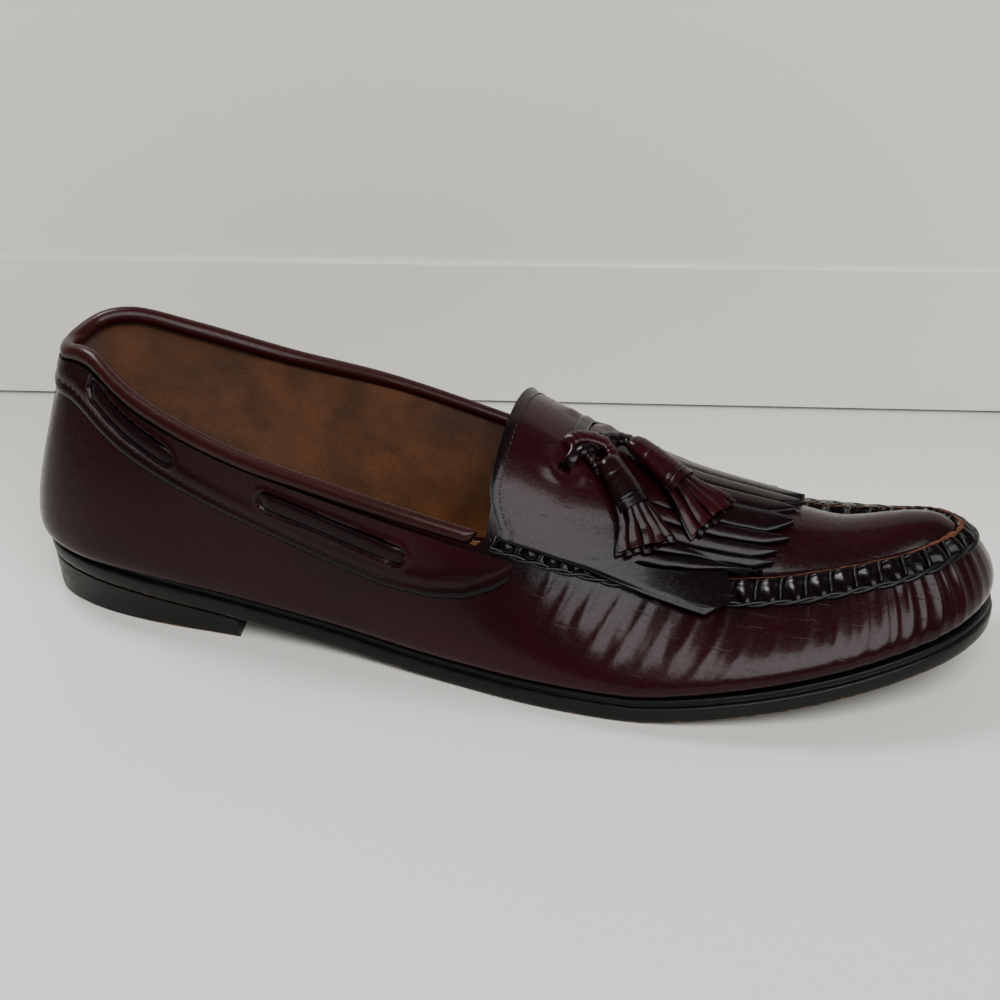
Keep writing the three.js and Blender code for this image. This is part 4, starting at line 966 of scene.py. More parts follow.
def seam_section(last, t, q, pinch):
    """The raised seam's section at station t: a Catmull-Rom curve in q through its foot on the wall, its
    outer face, its top and its foot on the apron, drawn in to its core by pinch."""
    s = last.size
    near = np.minimum(t, RING - t)
    w = np.minimum(s.seam_width * 0.4 / np.maximum(last.apron_width(near), 1e-6), 0.5)
    apron_foot = last.worn_apron(near, np.where(t <= TOE, w, 1 - w)) - np.array((0, 0, 0.4 * MM))
    crest, out, up = last.wall(t, np.ones_like(t)), last.out(t), np.array((0, 0, 1.0))

    def on_wall(depth, off):
        return last.off_wall(t, last.share_below(t, depth * MM), np.full(t.shape, off * MM))

    keys = np.stack([
        on_wall(4.0, -0.5), on_wall(3.6, 0.35), on_wall(2.8, 0.95), on_wall(1.5, 1.0),
        crest + out * 0.55 * MM + up * 0.2 * MM,
        crest - out * 0.5 * MM + up * 0.7 * MM,
        crest - out * 1.5 * MM + up * 0.3 * MM,
        lerp(crest - out * 2.1 * MM, apron_foot, np.full(t.shape, 0.5)),
        apron_foot], -2)
    core = crest - out * 0.6 * MM - up * 1.3 * MM
    place = np.clip(q * 8, 0, 7.9999)
    i = place.astype(int)
    f = (place - i)[..., None]
    pick = lambda step: np.take_along_axis(
        np.broadcast_to(keys[..., None, :, :], (*t.shape, len(q), 9, 3)),
        np.broadcast_to(np.clip(i + step, 0, 8)[..., None, None], (*t.shape, len(q), 1, 3)), -2)[..., 0, :]
    points = catmull(*(pick(step) for step in (-1, 0, 1, 2)), f)
    middle = np.sin(np.pi * np.clip(q, 0, 1)) ** 0.5
    return points + (core[..., None, :] - points) * (pinch[..., None] * middle)[..., None]


class LOAFER_OT_seam(bpy.types.Operator):
    """Makes the raised apron seam with its whip stitches and raw edge"""
    bl_idname = "loafer.seam"
    bl_label = "Apron seam"

    def execute(self, context):
        last, kit = loafer(), finishes()
        s = last.size
        first, final = last.length_at(6.5), last.length_at(RING - 6.5)
        way = np.linspace(first, final, 1000)
        t = last.station_at(way)
        q = np.linspace(0, 1, 26)
        between = np.abs(np.sin(np.pi * way / s.stitch_pitch)) ** 1.3
        pinch = 0.62 * (1 - between) - 0.04 * between + 0.05 * ripple(way / (4 * MM), 11)
        shape = Shape("shade")
        points = seam_section(last, t, q, pinch)
        # Near black, partly the seam's real dark dressing. It is a little darker in the grooves between
        # stitches: painted shade.
        shade = np.broadcast_to(1.35 - 0.15 * between[:, None], points.shape[:2])
        shape.grid(points, close=(False, True), shade=shade)
        shape.cap(points[:1])
        shape.cap(points[-1:])
        shape.piece("seam_ridge", [kit["box_calf"]], slot="burgundy_leather", sharp=70)
        self.stitches(last, kit, first, final)
        self.raw_edge(last, kit)
        return {"FINISHED"}

    def stitches(self, last, kit, first, final):
        """A slanted loop over the ridge in each groove, and a two-ply cord along the ridge's foot."""
        s = last.size
        number = np.arange(np.ceil(first / s.stitch_pitch), np.floor(final / s.stitch_pitch))
        q = np.linspace(0.1, 0.97, 18)
        slant = (np.linspace(-0.2, 0.22, 18))[None] * s.stitch_pitch
        way = number[:, None] * s.stitch_pitch + slant
        t = last.station_at(way)
        rows = seam_section(last, t.ravel(), q, np.full(t.size, 0.24)).reshape(len(number), 18, 18, 3)
        paths = rows[:, np.arange(18), np.arange(18)]
        shape = Shape("shade")
        shape.tubes(paths, s.seam_thread * 0.6, sides=8, turn=last.out(t) + np.array((0, 0, 0.3)))
        way = np.linspace(first, final, 1500)
        t = last.station_at(way)
        v = last.share_below(t, (3.6 + 0.25 * ripple(way / (11 * MM), 12)) * MM)
        base, face = last.off_wall(t, v, np.full(t.shape, 0.55 * MM)), normal(last.wall, t, v)
        ahead = unit(np.gradient(base, axis=0))
        side = np.cross(ahead, face)
        for phase in (0, np.pi):
            turn = np.pi * way / s.stitch_pitch + phase
            ply = base + 0.5 * MM * (np.cos(turn)[:, None] * side + 0.6 * np.sin(turn)[:, None] * face)
            shape.tubes(ply, 0.52 * MM, sides=7, turn=face[None])
        shape.piece("seam_thread", [kit["waxed_thread"]], slot="dark_leather", sharp=60)

    def raw_edge(self, last, kit):
        """The apron's cut edge along the top of the seam: widest at the toe, thin towards the kiltie."""
        t = np.linspace(8.9, 16.6, 500)
        way = last.length_at(t)
        crest, out = last.wall(t, np.ones_like(t)), last.out(t)
        wide = (0.2 + 0.75 * np.exp(-((t - 12.5) / 0.9) ** 2)) * MM * (1 + 0.5 * ripple(way / (2 * MM), 21))
        lift = (0.62 + 0.2 * ripple(way / (4 * MM), 22)) * MM
        up = np.array((0, 0, 1.0))
        middle = crest - out * 1.35 * MM
        path = middle + up * lift[:, None]
        shape = Shape("shade")
        shape.tubes(path, wide, sides=8, flat=0.5, turn=np.broadcast_to(up, (1, *path.shape)))
        shape.piece("apron_raw_edge", [kit["raw_edge"]], slot="burgundy_leather", sharp=60)


class LOAFER_OT_collar(bpy.types.Operator):
    """Makes the padded roll and the band under it with its windows and stitches"""
    bl_idname = "loafer.collar"
    bl_label = "Collar"

    def execute(self, context):
        last, kit = loafer(), finishes()
        s = last.size
        end = 6.37
        t = np.concatenate([np.linspace(-end, -1.2, 150), np.linspace(-1.15, 1.15, 40),
                            np.linspace(1.2, end, 150)])
        a = np.linspace(0, 2 * np.pi, 28, endpoint=False)
        radius = s.roll_radius + (s.roll_end_radius - s.roll_radius) * smooth((np.abs(t) - 3) / (end - 3))
        radius = radius * (1 + 0.02 * ripple(last.length_at(t % RING) / (14 * MM), 31))
        radius[[0, -1]] *= 0.35
        radius[[1, -2]] *= 0.8
        crest, out = last.wall(t, np.ones_like(t)), last.out(t)
        centre = crest - np.array((0, 0, 1.0)) * radius[:, None]
        ring = np.cos(a)[None, :, None] * out[:, None] + np.sin(a)[None, :, None] * np.array((0, 0, 1.0))
        points = centre[:, None] + ring * radius[:, None, None]
        # Painted shade: the roll's lower outer side is darkened as if turned from the light. The roll also
        # darkens towards its ends at the throat.
        low = smooth((-np.sin(a)[None] + 0.1) / 0.9) * smooth((np.cos(a)[None] + 0.4) / 0.8)
        shade = low * 0.7 + 0.25 * smooth((np.abs(t)[:, None] - 4.5) / 1.8) + 0.12
        shape = Shape("shade")
        shape.grid(points, close=(False, True), shade=shade)
        shape.cap(points[:1], shade=0.9)
        shape.cap(points[-1:], shade=0.9)
        roll = shape.piece("padded_roll", [kit["collar_calf"]], ["collar_roll"], "collar_leather", sharp=60)
        self.band(last, kit)
        return {"FINISHED"}

    def band(self, last, kit):
        """The band lies 0.3 mm off the wall. Its relief is a rounded lower edge, a stitched groove over it
        and a lipped window around each thong."""
        s = last.size
        end = 6.72
        t = np.concatenate([np.linspace(-end, -6.5, 14), np.linspace(-6.48, 6.48, 620),
                            np.linspace(6.5, end, 14)])
        share = np.linspace(0, 1, 27) ** 0.9
        low = table(BAND_EDGE, np.abs(t))
        high = last.share_below(t, 2 * s.roll_radius + s.joint_gap - 0.8 * MM)
        high = np.maximum(high, low + 0.004)
        v = low[:, None] + (high - low)[:, None] * share[None]
        t2 = np.broadcast_to(t[:, None], v.shape)
        up_edge = (v - low[:, None]) * spline(last.up, t)[:, None]
        relief = s.band * (0.35 + 0.65 * np.sqrt(np.clip(up_edge / (0.9 * MM), 0, 1)))
        relief = relief - 0.28 * MM * np.exp(-((up_edge - 1.9 * MM) / (0.45 * MM)) ** 2)
        relief = relief + 0.25 * MM * np.exp(-((up_edge - 3.4 * MM) / (1.0 * MM)) ** 2)
        inside = window_distance(last, t2, v)
        relief = relief + 0.45 * MM * np.exp(-((inside - 0.75 * MM) / (0.55 * MM)) ** 2)
        relief = relief - 0.75 * MM * smooth(-inside / (0.35 * MM) + 0.5)
        outer = last.off_wall(t2, v, s.joint_gap + np.maximum(relief, 0.1 * MM))
        inner = last.off_wall(t2, v, np.full(v.shape, s.joint_gap * 0.5))
        # Painted shade: a dark shadow line along the lower edge and round each thong's window, and darker at
        # the back. The band is painted lighter high up near the throat's end.
        shade = (0.55 + 0.5 * smooth((1.6 * MM - up_edge) / MM) + 0.4 * np.exp(-(inside / (0.6 * MM)) ** 2)
                 + 0.25 * smooth((2.4 - np.abs(t2)) / 2))
        shade = shade - 0.35 * np.exp(-((np.abs(t2) - 5.9) / 0.9) ** 2) * smooth((up_edge
                                                                                  - 3 * MM) / (3 * MM))
        shape = Shape("shade")
        shape.wall(outer, inner, slots=(0, 1, 1), shade=shade)
        shape.piece("collar_band_leather", [kit["box_calf"], kit["cut_edge"]], ["collar_band"],
                    "burgundy_leather",
                    sharp=60)
        way = np.arange(last.length_at(0), last.length_at(6.3), s.fine_pitch)
        stitch_t = last.station_at(way)
        shape = Shape("shade")
        for side in (1, -1):
            at = stitch_t * side
            rise = table(BAND_EDGE, np.abs(at)) + 1.9 * MM / spline(last.up, at)
            centres = last.off_wall(at, rise, np.full(at.shape, s.joint_gap + s.band - 0.2 * MM))
            face = normal(last.wall, at, rise)
            capsules(shape, centres, np.gradient(centres, axis=0) * side, face, s.fine_pitch * 0.72,
                     s.fine_thread, s.fine_thread)
        shape.piece("band_stitches", [kit["waxed_thread"]], slot="dark_leather")


def thong_place(last, t, v):
    """Where a point of the band lies beside the nearest thong run: along, across and its half length."""
    near = np.abs(t)
    found = None
    for first, final in THONG_RUNS:
        middle = (first + final) / 2
        pace = np.linalg.norm(last.wall(middle + 0.5, 0.88) - last.wall(middle - 0.5, 0.88), axis=-1)
        along = (near - middle) * pace
        half = (final - first) / 2 * pace
        aim = spline(last.up, t) - (last.wall(t, last.share_below(
            t, table(THONG_LINE, near) * last.size.thong_width))[..., 2] - last.foot(t))
        across = aim - (spline(last.up, t) - (last.wall(t, v)[..., 2] - last.foot(t)))
        found = (along, across, half) if found is None else tuple(
            np.where(np.abs(along) - half < np.abs(found[0]) - found[2], new, old)
            for new, old in zip((along, across, half), found))
    return found


def window_distance(last, t, v):
    """The distance from a thong's window, a slot with round ends, less than 0 inside it."""
    along, across, half = thong_place(last, t, v)
    radius = last.size.thong_width / 2 + 0.35 * MM
    beyond = np.maximum(np.abs(along) - (half - radius), 0)
    return np.hypot(beyond, across) - radius


class LOAFER_OT_thongs(bpy.types.Operator):
    """Makes the flat thong where it shows in the band's windows, and the strip over the back seam"""
    bl_idname = "loafer.thongs"
    bl_label = "Thongs and back seam"

    def execute(self, context):
        last, kit = loafer(), finishes()
        s = last.size
        names = (("outer", "rear", 1, 0), ("outer", "front", 1, 1), ("inner", "rear", -1, 0),
                 ("inner", "front", -1, 1))
        for side_name, run_name, side, run in names:
            first, final = THONG_RUNS[run]
            t = np.linspace(first + 0.015, final - 0.015, 90)
            p = np.linspace(-1, 1, 13)
            pace = (last.length_at(final) - last.length_at(first)) / (final - first)
            from_end = np.minimum(t - first, final - t) * pace
            radius = s.thong_width / 2
            half = radius * np.sqrt(np.clip(1 - (1 - np.minimum(from_end / radius, 1)) ** 2, 0.004, 1))
            at = t * side
            depth = table(THONG_LINE, t) * s.thong_width
            v = last.share_below(at[:, None], depth[:, None] - half[:, None] * p[None])
            dome = 0.35 + 0.75 * np.sqrt(np.clip(1 - p[None] ** 2, 0, 1)) ** 0.6
            sink = 0.35 + 0.65 * smooth(from_end / (4 * MM))[:, None]
            height = s.joint_gap + 0.35 * MM + s.band * dome * sink * 0.95
            outer = last.off_wall(at[:, None], v, height)
            inner = last.off_wall(at[:, None], v, np.full(v.shape, s.joint_gap + 0.1 * MM))
            # Painted shade: darker at the thong's edges and where it sinks into the band at its ends.
            shade = 0.75 + 0.3 * np.abs(p)[None] ** 4 + 0.15 * (1 - sink)
            shape = Shape("shade")
            shape.wall(outer, inner, slots=(0, 1, 1), shade=np.broadcast_to(shade, v.shape))
            shape.piece(f"thong_{side_name}_{run_name}_leather", [kit["box_calf"], kit["cut_edge"]],
                        [f"thong_{side_name}_{run_name}"], "dark_leather", sharp=60)
        self.back_seam(last, kit)
        return {"FINISHED"}

    def back_seam(self, last, kit):
        """A strip up the back with a crowned section and a seam line on each side."""
        s = last.size
        pace = np.linalg.norm(last.wall(0.5, 0.9) - last.wall(-0.5, 0.9))
        aside = np.linspace(-1, 1, 15)
        top = table(BAND_EDGE, 0) - s.joint_gap / spline(last.up, 0)
        v = np.linspace(0.06, top, 60)
        t2, v2 = np.meshgrid(aside * 2.2 * MM / pace, v, indexing="ij")
        crown = (0.25 + 0.75 * np.sqrt(1 - np.abs(aside) ** 3)) - 0.25 * np.exp(-((np.abs(aside)
                                                                                   - 0.62) / 0.1) ** 2)
        height = s.joint_gap + crown[:, None] * MM * np.ones_like(v2)
        outer, inner = last.off_wall(t2, v2, height), last.off_wall(t2, v2,
                                                                    np.full(v2.shape, s.joint_gap * 0.5))
        shape = Shape("shade")
        shape.wall(outer, inner, slots=(0, 1, 1), shade=np.full(v2.shape, 1.0))
        shape.piece("back_strip", [kit["box_calf"], kit["cut_edge"]], ["back_seam"], "dark_leather",
                    sharp=60)


def from_hole(t, c, at):
    """Millimetres ahead of a lace hole and beside it."""
    return (t - HOLE_STATION) * STATION_LENGTH, (c - at) * APRON_WIDTH


def back_edge(c):
    """The station of the kiltie's back edge at a share of its width: straight, with rounded corners."""
    corner = smooth(np.minimum(c, 1 - c) / 0.12)
    return KILTIE_BACK + 0.14 * (1 - corner) ** 2


class LOAFER_OT_kiltie(bpy.types.Operator):
    """Makes the fringed kiltie with its stitched back edge"""
    bl_idname = "loafer.kiltie"
    bl_label = "Kiltie"

    def execute(self, context):
        last, kit = loafer(), finishes()
        s = last.size
        # Columns: a skirt, the strips and the other skirt. Rows: the body from the back edge to the
        # strips' root, then the tails. p runs across a strip or skirt, run down the body or the tail.
        slits = np.array([*HALF_SLITS, 0.5, *(1 - share for share in reversed(HALF_SLITS))])
        strips = len(slits) - 1
        skirt = np.linspace(0, 1, 17)
        place_in_strip = np.array([0, 0.06, 0.25, 0.5, 0.75, 0.94, 1])
        place = np.concatenate([skirt, np.tile(place_in_strip, strips), skirt[::-1]])
        belongs = np.concatenate([np.full(17, -1), np.repeat(np.arange(strips), 7), np.full(17, strips)])
        body = np.concatenate([[0, 0.008, 0.02, 0.045, 0.075], np.linspace(0.1, 1, 44)])
        tails = np.concatenate([np.linspace(0, 0.8, 34)[1:], np.linspace(0.8, 1, 15)[1:]])
        rows, cols = len(body) + len(tails), len(place)
        i, j = np.meshgrid(np.arange(rows), np.arange(cols), indexing="ij")
        is_tail = i >= len(body)
        run = np.concatenate([body, tails])[i]
        p, owner = place[j], belongs[j]
        is_skirt = (owner < 0) | (owner == strips)
        k = np.clip(owner, 0, strips - 1)
        left, right = slits[k], slits[k + 1]
        middle = (left + right) / 2
        from_root = table(SKIRT_REACH, KILTIE_ROOT)
        skirt_c = -from_root + (from_root + slits[0]) * p
        root_c = np.where(is_skirt, np.where(owner < 0, skirt_c, 1 - skirt_c), left + (right - left) * p)
        back = back_edge(root_c)
        tip_strip = table(STRIP_TIPS, np.minimum(middle, 1 - middle)) + 0.035 * np.sin(k * 2.3)
        tip = np.where(is_skirt, table(SKIRT_TIPS, p), tip_strip)
        t = np.where(is_tail, KILTIE_ROOT + (tip - KILTIE_ROOT) * run, back + (KILTIE_ROOT - back) * run)
        width = last.apron_width(t)
        slit = np.where(is_tail, s.slit / 2 / width, 0.0002)
        slit = slit * (1 + 0.4 * ripple(t * 5 + k * 3, 41)) * np.where(is_tail,
                                                                       smooth(run * 12) * 0.3 + 0.3, 1)
        reach = table(SKIRT_REACH, t)
        edge = slits[0] - slit
        from_edge = -reach + (reach + edge) * p
        cut = np.where(is_tail, np.clip((run - 0.8) / 0.2, 0, 1), 0)
        near_cut, far_cut = 0.58 * cut ** 1.3, 0.34 * cut ** 2.2
        half = (right - left) / 2 - slit
        strip_p = near_cut + (1 - near_cut - far_cut) * p
        c = np.where(is_skirt, np.where(owner < 0, from_edge, 1 - from_edge), middle
                     + (2 * strip_p - 1) * half)
        sway = np.where(is_skirt, 0, 0.006 * np.sin(k * 1.9 + 0.6) * np.where(is_tail, run, 0))
        c = c + sway
        across = np.where(is_skirt, 0, 2 * p - 1)
        camber = np.where(is_tail & ~is_skirt, 0.1 * (1 - across ** 2) - 0.25 * np.abs(across) ** 8, 0)
        lift = np.where(is_tail & ~is_skirt, run ** 2 * (0.2 + 0.15 * np.sin(k * 2.7 + 1)), 0)
        roll = np.where(is_tail & ~is_skirt, run * across * (0.22 + 0.06 * np.sin(k * 1.3 + 2)), 0)
        margin = run * (KILTIE_ROOT - back) * STATION_LENGTH
        # The back edge is rolled over and has a stitched groove, the skirt's edge turns down
        rim = np.where(is_tail, 0, 0.5 * np.exp(-(margin / 0.55) ** 2)
                       - 0.22 * np.exp(-((margin - 1.9) / 0.5) ** 2))
        edge_way = np.where(is_skirt, p * (reach * s.kiltie_skirt + edge * width) / MM, 9)
        turn_down = -0.5 * np.exp(-(edge_way / 0.5) ** 2)
        relief = (camber + lift * 0.8 + roll + rim + turn_down) * MM
        pucker = self.lace_puckers(t, c)
        height = s.kiltie + relief + pucker * MM
        top = last.on_kiltie(t, c, height)
        under = last.on_kiltie(t, c, np.maximum(relief + pucker * MM, 0.05 * MM) * np.where(is_tail, 1, 0.2))
        has = np.ones((rows - 1, cols - 1), bool)
        gap = belongs[:-1] != belongs[1:]
        has[len(body) - 1:, :] &= ~gap[None]
        hole = self.holes(t, c)
        cell = (hole[:-1, :-1] + hole[1:, 1:] + hole[1:, :-1] + hole[:-1, 1:]) / 4
        has &= cell < 0.6
        # Darker along the rolled back edge: partly its real dark dressing, partly painted shade. Painted
        # shade also darkens the skirt's turned-down edge, the strips' edges beside the slits and the sides
        # that hang over the seams. The strips darken towards their tips, and the body towards its root.
        shade = (0.28 + 0.75 * np.exp(-(margin / 1.6) ** 2) * ~is_tail + 0.5 * np.exp(-(edge_way / 1.5) ** 2)
                 + np.where(is_tail, 0.28 + 0.35 * run + 0.5 * np.abs(across) ** 6,
                            0.35 * smooth((run - 0.45) / 0.5)))
        shade = shade + 0.3 * smooth((0.22 - np.minimum(c, 1 - c)) / 0.2)
        shape = Shape("shade")
        shape.wall(top, under, has, slots=(0, 1, 1), shade=shade)
        shape.piece("kiltie_leather", [kit["box_calf"], kit["cut_edge"]], ["kiltie"], "burgundy_leather",
                    sharp=50)
        self.stitches(last, kit)
        return {"FINISHED"}

    def lace_puckers(self, t, c):
        """The leather is drawn up beside each hole: a bump each side, in the two directions of the lace."""
        around = 0
        for at in HOLES:
            ahead, beside = from_hole(t, c, at)
            ring = np.hypot(ahead, beside)
            two_sided = 0.55 + 0.45 * np.cos(2 * np.arctan2(beside, ahead) - 0.6)
            around = around + 0.9 * np.exp(-((ring - 4.2) / 1.6) ** 2) * two_sided
            around = around - 0.6 * np.exp(-(ring / 2.2) ** 2)
        return around

    def holes(self, t, c):
        """1 inside either lace hole, a rounded square 3.8 by 4.2 mm."""
        found = 0
        for at in HOLES:
            ahead, beside = from_hole(t, c, at)
            found = found + ((ahead / 1.9) ** 4 + (beside / 2.1) ** 4 < 1)
        return found

    def stitches(self, last, kit):
        """One row of fine stitches along the back edge, 1.9 mm inside it."""
        s = last.size
        c = np.linspace(0.03, 0.97, 2000)
        t = back_edge(c) + 1.9 / STATION_LENGTH
        line = last.on_kiltie(t, c, np.full(c.shape, s.kiltie - 0.02 * MM))
        way = np.concatenate([[0], np.cumsum(np.linalg.norm(np.diff(line, axis=0), axis=1))])
        at = np.interp(np.arange(0, way[-1], s.fine_pitch), way, c)
        t = np.interp(at, c, t)
        centres = last.on_kiltie(t, at, np.full(at.shape, s.kiltie - 0.02 * MM))
        face = last.kiltie_face(t, at)
        shape = Shape("shade")
        capsules(shape, centres, np.gradient(centres, axis=0), face, s.fine_pitch * 0.75,
                 s.fine_thread * 1.1,
                 s.fine_thread * 1.1)
        shape.piece("kiltie_stitches", [kit["waxed_thread"]], slot="dark_leather")


class LOAFER_OT_lace(bpy.types.Operator):
    """Makes the lace between the kiltie's holes and the knot on it"""
    bl_idname = "loafer.lace"
    bl_label = "Lace and knot"

    def execute(self, context):
        last, kit = loafer(), finishes()
        s = last.size
        bar, knot = Shape("shade"), Shape("shade")
        q = np.linspace(0, 1, 48)
        paths = []
        # The first run lies between the holes, the others make the knot
        for keys, wide, flat, creased, shade in LACE_RUNS:
            t, c, height = through(keys, 48).T
            path = last.on_kiltie(t, c, s.kiltie + height * MM)
            face = last.kiltie_face(t, c)
            radius = s.lace_width / 2 * wide * (1 + creased * np.sin(q * 37) * np.sin(np.pi * q))
            shape = knot if paths else bar
            shape.tubes(path, radius, sides=14, flat=flat, turn=face[None], shade=shade)
            paths.append(path)
        knot.piece("lace_knot", [kit["box_calf"]], ["tassel_lace"], "dark_leather", sharp=60)
        lace = bar.piece("kiltie_lace", [kit["box_calf"]], slot="dark_leather", sharp=60)
        return {"FINISHED"}


class LOAFER_OT_tassels(bpy.types.Operator):
    """Makes the two tassels: a wrapped cap and two layers of cut strips each"""
    bl_idname = "loafer.tassels"
    bl_label = "Tassels"

    def execute(self, context):
        last, kit = loafer(), finishes()
        for name, line in TASSELS.items():
            self.tassel(last, kit, name, line)
        return {"FINISHED"}

    def tassel(self, last, kit, name, line):
        """The cap is a flat oval roll whose wraps step out; a strip is a thin cambered sheet that flares."""
        s = last.size
        rise = 0.45 * MM
        shape = Shape("shade")
        q = np.concatenate([np.linspace(0, 0.12, 10), np.linspace(0.13, 0.58, 64)])
        a = np.linspace(0, 2 * np.pi, 40, endpoint=False)
        swell = np.interp(q, (0, 0.03, 0.08, 0.2, 0.45, 0.58), (0.35, 0.66, 0.78, 0.84, 0.98, 1.02))
        for at, wide, step in ((0.2, 0.012, 0.05), (0.46, 0.012, 0.05), (0.5, 0.012, 0.05),
                               (0.3, 0.01, -0.02)):
            swell = swell + step * smooth((q - at + 0.008) / 0.01) * smooth((at + wide - q) / 0.012)
        swell[-1] *= 0.2
        fold = 1 + 0.03 * np.exp(-(((a - 1.2) % (2 * np.pi)) / 0.25) ** 2)
        side, top = np.cos(a), np.sign(np.sin(a)) * np.abs(np.sin(a)) ** 0.8
        aside = swell[:, None] * side * fold * s.cap_width / 2
        height = rise + (swell[:, None] * top * fold + 1.08) * s.cap_depth / 2
        cap = last.off_line(line, q[:, None], aside, height)
        # Painted light and shade: the same leather is painted darker on the near tassel and lighter on the
        # far one. The cap darkens below its second wrap.
        dark = 0.75 - 0.55 * (name == "far") + 0.3 * smooth((q[:, None] - 0.4) / 0.05) * np.ones_like(aside)
        shape.grid(cap, close=(False, True), shade=dark)
        shape.cap(cap[:1])
        shape.cap(cap[-1:])
        for layer, count in enumerate((7, 5)):
            self.strips(last, shape, line, layer, count, 0.3 * (name == "far"))
        shape.piece(f"tassel_{name}_leather", [kit["box_calf"], kit["cut_edge"]], [f"tassel_{name}"],
                    "dark_leather", sharp=50)

    def strips(self, last, shape, line, layer, count, far_painted_light):
        """All of a layer's strips at once. They start side by side under the cap's edge and flare: the
        upper layer lies on the cap's oval, the lower one flat on the kiltie and a little wider."""
        s = last.size
        root = 0.49
        k = np.arange(count)[:, None, None]
        spread = 2 * k / (count - 1) - 1
        tip = 0.97 - 0.05 * spread ** 2 + 0.03 * (1 - layer) + 0.015 * np.sin(k * 2.4 + layer)
        q = root + (tip - root) * np.linspace(0, 1, 24)[None, :, None]
        p = np.linspace(-1, 1, 7)[None, None]
        out = smooth((q - root) / (1 - root))
        reach = s.cap_width * 0.4 + out * (s.flare * (0.37 if layer else 0.42) - s.cap_width * 0.4)
        half = reach / (count - 1) * (1.1 - 0.08 * out)
        depth = (0.72 - 0.2 * out - 0.3 * spread ** 2) if layer else (0.2 - 0.15 * out + 0.04 * (k % 2))
        camber = (1 - p ** 2) * (0.3 + 0.1 * np.sin(k * 1.9)) * MM
        tilt = p * 0.25 * MM * np.sin(k * 2.6 + 0.5) * out
        wavy = 0.3 * MM * np.sin(q * 19 + k * 1.7) * out
        aside = spread * reach + p * half + 0.15 * MM * np.sin(k * 3.1 + q * 9)
        base = 0.45 * MM + np.maximum(depth, 0.02) * s.cap_depth + np.maximum(wavy + tilt, 0)
        top = last.off_line(line, q, aside, base + s.strip * 0.8 + camber)
        under = last.off_line(line, q, aside, base + camber * 0.8)
        # Painted light and shade: the lower layer lightens towards its tips, more on the far tassel, and the
        # strips darken at their edges.
        shade = (0.9 - 0.55 * layer * out - far_painted_light * layer + 0.25 * np.abs(p) ** 6) * np.ones_like(aside)
        for one in range(count):
            shape.wall(top[one], under[one], slots=(0, 1, 0), shade=shade[one])
        # A thin light tube along each strip's tip: a painted highlight standing in for the glints on the cut
        # ends.
        shape.tubes((top[:, -1] * 0.7 + under[:, -1] * 0.3), 0.24 * MM, sides=6, shade=0.1)


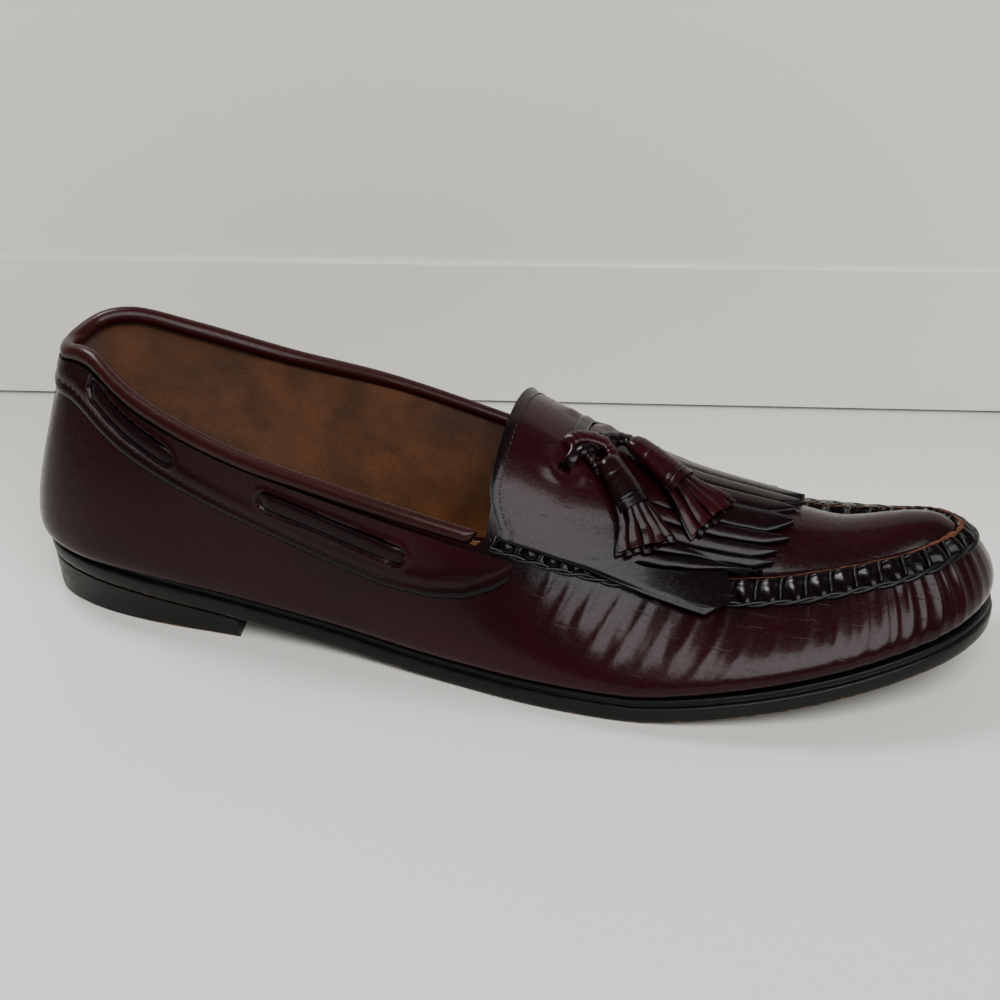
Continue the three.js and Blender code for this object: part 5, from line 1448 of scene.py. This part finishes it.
class LOAFER_OT_stage(bpy.types.Operator):
    """Makes the floor, the wall behind it, the soft light and the camera"""
    bl_idname = "loafer.stage"
    bl_label = "Stage"

    def execute(self, context):
        last = loafer()
        tone = context.scene.loafer_colours
        made, tree, surface, place = material("pale_floor", roughness=0.5, specular=0.3)
        cloud = add(tree, "ShaderNodeTexNoise", {"Vector": place, "Scale": 3, "Detail": 3}).outputs["Fac"]
        base = add(tree, "ShaderNodeMix", {0: cloud, 6: rgba(tone.floor),
                                           7: rgba(c * 0.95 for c in tone.floor)},
                   data_type="RGBA").outputs[2]
        tree.links.new(base, surface.inputs["Base Color"])
        turn = np.linspace(0, np.pi / 2, 8)
        self.sheet("floor", made, [(-2.5, 0), (0.05, 0)])
        rounded = [(0.0015 - 0.0015 * np.cos(a), 0.0565 + 0.0015 * np.sin(a)) for a in turn]
        self.sheet("backdrop", made, [(0.004, 0.0), (0.004, 0.0015), (0.0, 0.0015), *rounded,
                                      (0.0035, 0.058),
                                      (0.0035, 0.3)])
        self.light("ceiling_light", (0.7, -1.2, 1.5), (0.0, 0.05, 0.05), 1.8, 1.4, 62)
        self.light("window_light", (-0.55, 0.25, 0.95), (0.0, 0.0, 0.05), 0.3, 0.4, 9)
        world = bpy.data.worlds.new("soft_room")
        world.use_nodes = True
        world.node_tree.nodes["Background"].inputs["Color"].default_value = (0.82, 0.84, 0.86, 1)
        world.node_tree.nodes["Background"].inputs["Strength"].default_value = 0.26
        context.scene.world = world
        self.camera(context, last)
        return {"FINISHED"}

    def sheet(self, name, made, profile):
        """A profile of (way to the wall, height) carried along the wall's foot, which runs 9.84 degrees
        from the shoe's length."""
        along, away = np.array((0.98529, 0.17093)), np.array((-0.17093, 0.98529))
        foot = np.array((-0.0401, 0.1560))
        profile = np.array(profile)
        x = np.linspace(-2.5, 2.5, 6)
        plan = foot + along * x[:, None, None] + away * profile[None, :, :1]
        points = np.concatenate([plan, np.broadcast_to(profile[None, :, 1:], (6, len(profile), 1))], -1)
        index = np.arange(6 * len(profile)).reshape(6, -1)
        faces = np.stack([index[:-1, :-1], index[1:, :-1], index[1:, 1:], index[:-1, 1:]], -1).reshape(-1, 4)
        mesh = bpy.data.meshes.new(name)
        mesh.from_pydata(points.reshape(-1, 3).tolist(), [], faces.tolist())
        mesh.materials.append(made)
        thing = bpy.data.objects.new(name, mesh)
        bpy.context.scene.collection.objects.link(thing)

    def light(self, name, at, to, wide, high, power):
        lamp = bpy.data.lights.new(name, "AREA")
        lamp.shape, lamp.size, lamp.size_y, lamp.energy = "RECTANGLE", wide, high, power
        thing = bpy.data.objects.new(name, lamp)
        thing.location = at
        thing.rotation_mode = "QUATERNION"
        thing.rotation_quaternion = (Vector(to) - Vector(at)).to_track_quat("-Z", "Y")
        bpy.context.scene.collection.objects.link(thing)

    def camera(self, context, last):
        """Azimuth 16, elevation 26.7 and roll -1.3 degrees, 608 mm from a point in the shoe."""
        azimuth, elevation, roll = np.radians((16.0, 26.7, -1.3))
        level = np.cos(elevation)
        back = np.array((np.sin(azimuth) * level, -np.cos(azimuth) * level, np.sin(elevation)))
        right = unit(np.cross(-back, (0, 0, 1.0)))
        up = np.cross(right, -back)
        right, up = right * np.cos(roll) + up * np.sin(roll), up * np.cos(roll) - right * np.sin(roll)
        at = np.array((-2.4, 13.2, 32.0)) * MM + np.array((*last.shift, 0)) + back * 0.608
        camera = bpy.data.cameras.new("camera")
        camera.lens, camera.sensor_width, camera.clip_start = 69.6, 36, 0.01
        thing = bpy.data.objects.new("camera", camera)
        turned = Matrix(np.stack([right, up, back], 1).tolist())
        thing.rotation_mode = "QUATERNION"
        thing.rotation_quaternion = turned.to_quaternion()
        thing.location = at
        context.scene.collection.objects.link(thing)
        context.scene.camera = thing


class LOAFER_PT_panel(bpy.types.Panel):
    """The loafer's pieces, sizes and colours"""
    bl_label = "Tassel loafer"
    bl_idname = "LOAFER_PT_panel"
    bl_space_type = "VIEW_3D"
    bl_region_type = "UI"
    bl_category = "Loafer"

    def draw(self, context):
        for operator in OPERATORS:
            self.layout.operator(operator.bl_idname)
        for group in (context.scene.loafer_sizes, context.scene.loafer_colours):
            box = self.layout.box()
            for name in group.__annotations__:
                box.prop(group, name)


OPERATORS = (LOAFER_OT_sole, LOAFER_OT_heel, LOAFER_OT_sock, LOAFER_OT_upper, LOAFER_OT_seam,
             LOAFER_OT_collar,
             LOAFER_OT_thongs, LOAFER_OT_kiltie, LOAFER_OT_lace, LOAFER_OT_tassels, LOAFER_OT_stage)
CLASSES = (LoaferSizes, LoaferColours, *OPERATORS, LOAFER_PT_panel)


def register():
    for made in CLASSES:
        bpy.utils.register_class(made)
    bpy.types.Scene.loafer_sizes = bpy.props.PointerProperty(type=LoaferSizes)
    bpy.types.Scene.loafer_colours = bpy.props.PointerProperty(type=LoaferColours)


def unregister():
    del bpy.types.Scene.loafer_colours
    del bpy.types.Scene.loafer_sizes
    for made in reversed(CLASSES):
        bpy.utils.unregister_class(made)


def main():
    register()
    for operator in OPERATORS:
        group, name = operator.bl_idname.split(".")
        getattr(getattr(bpy.ops, group), name)()


if __name__ == "__main__":
    main()
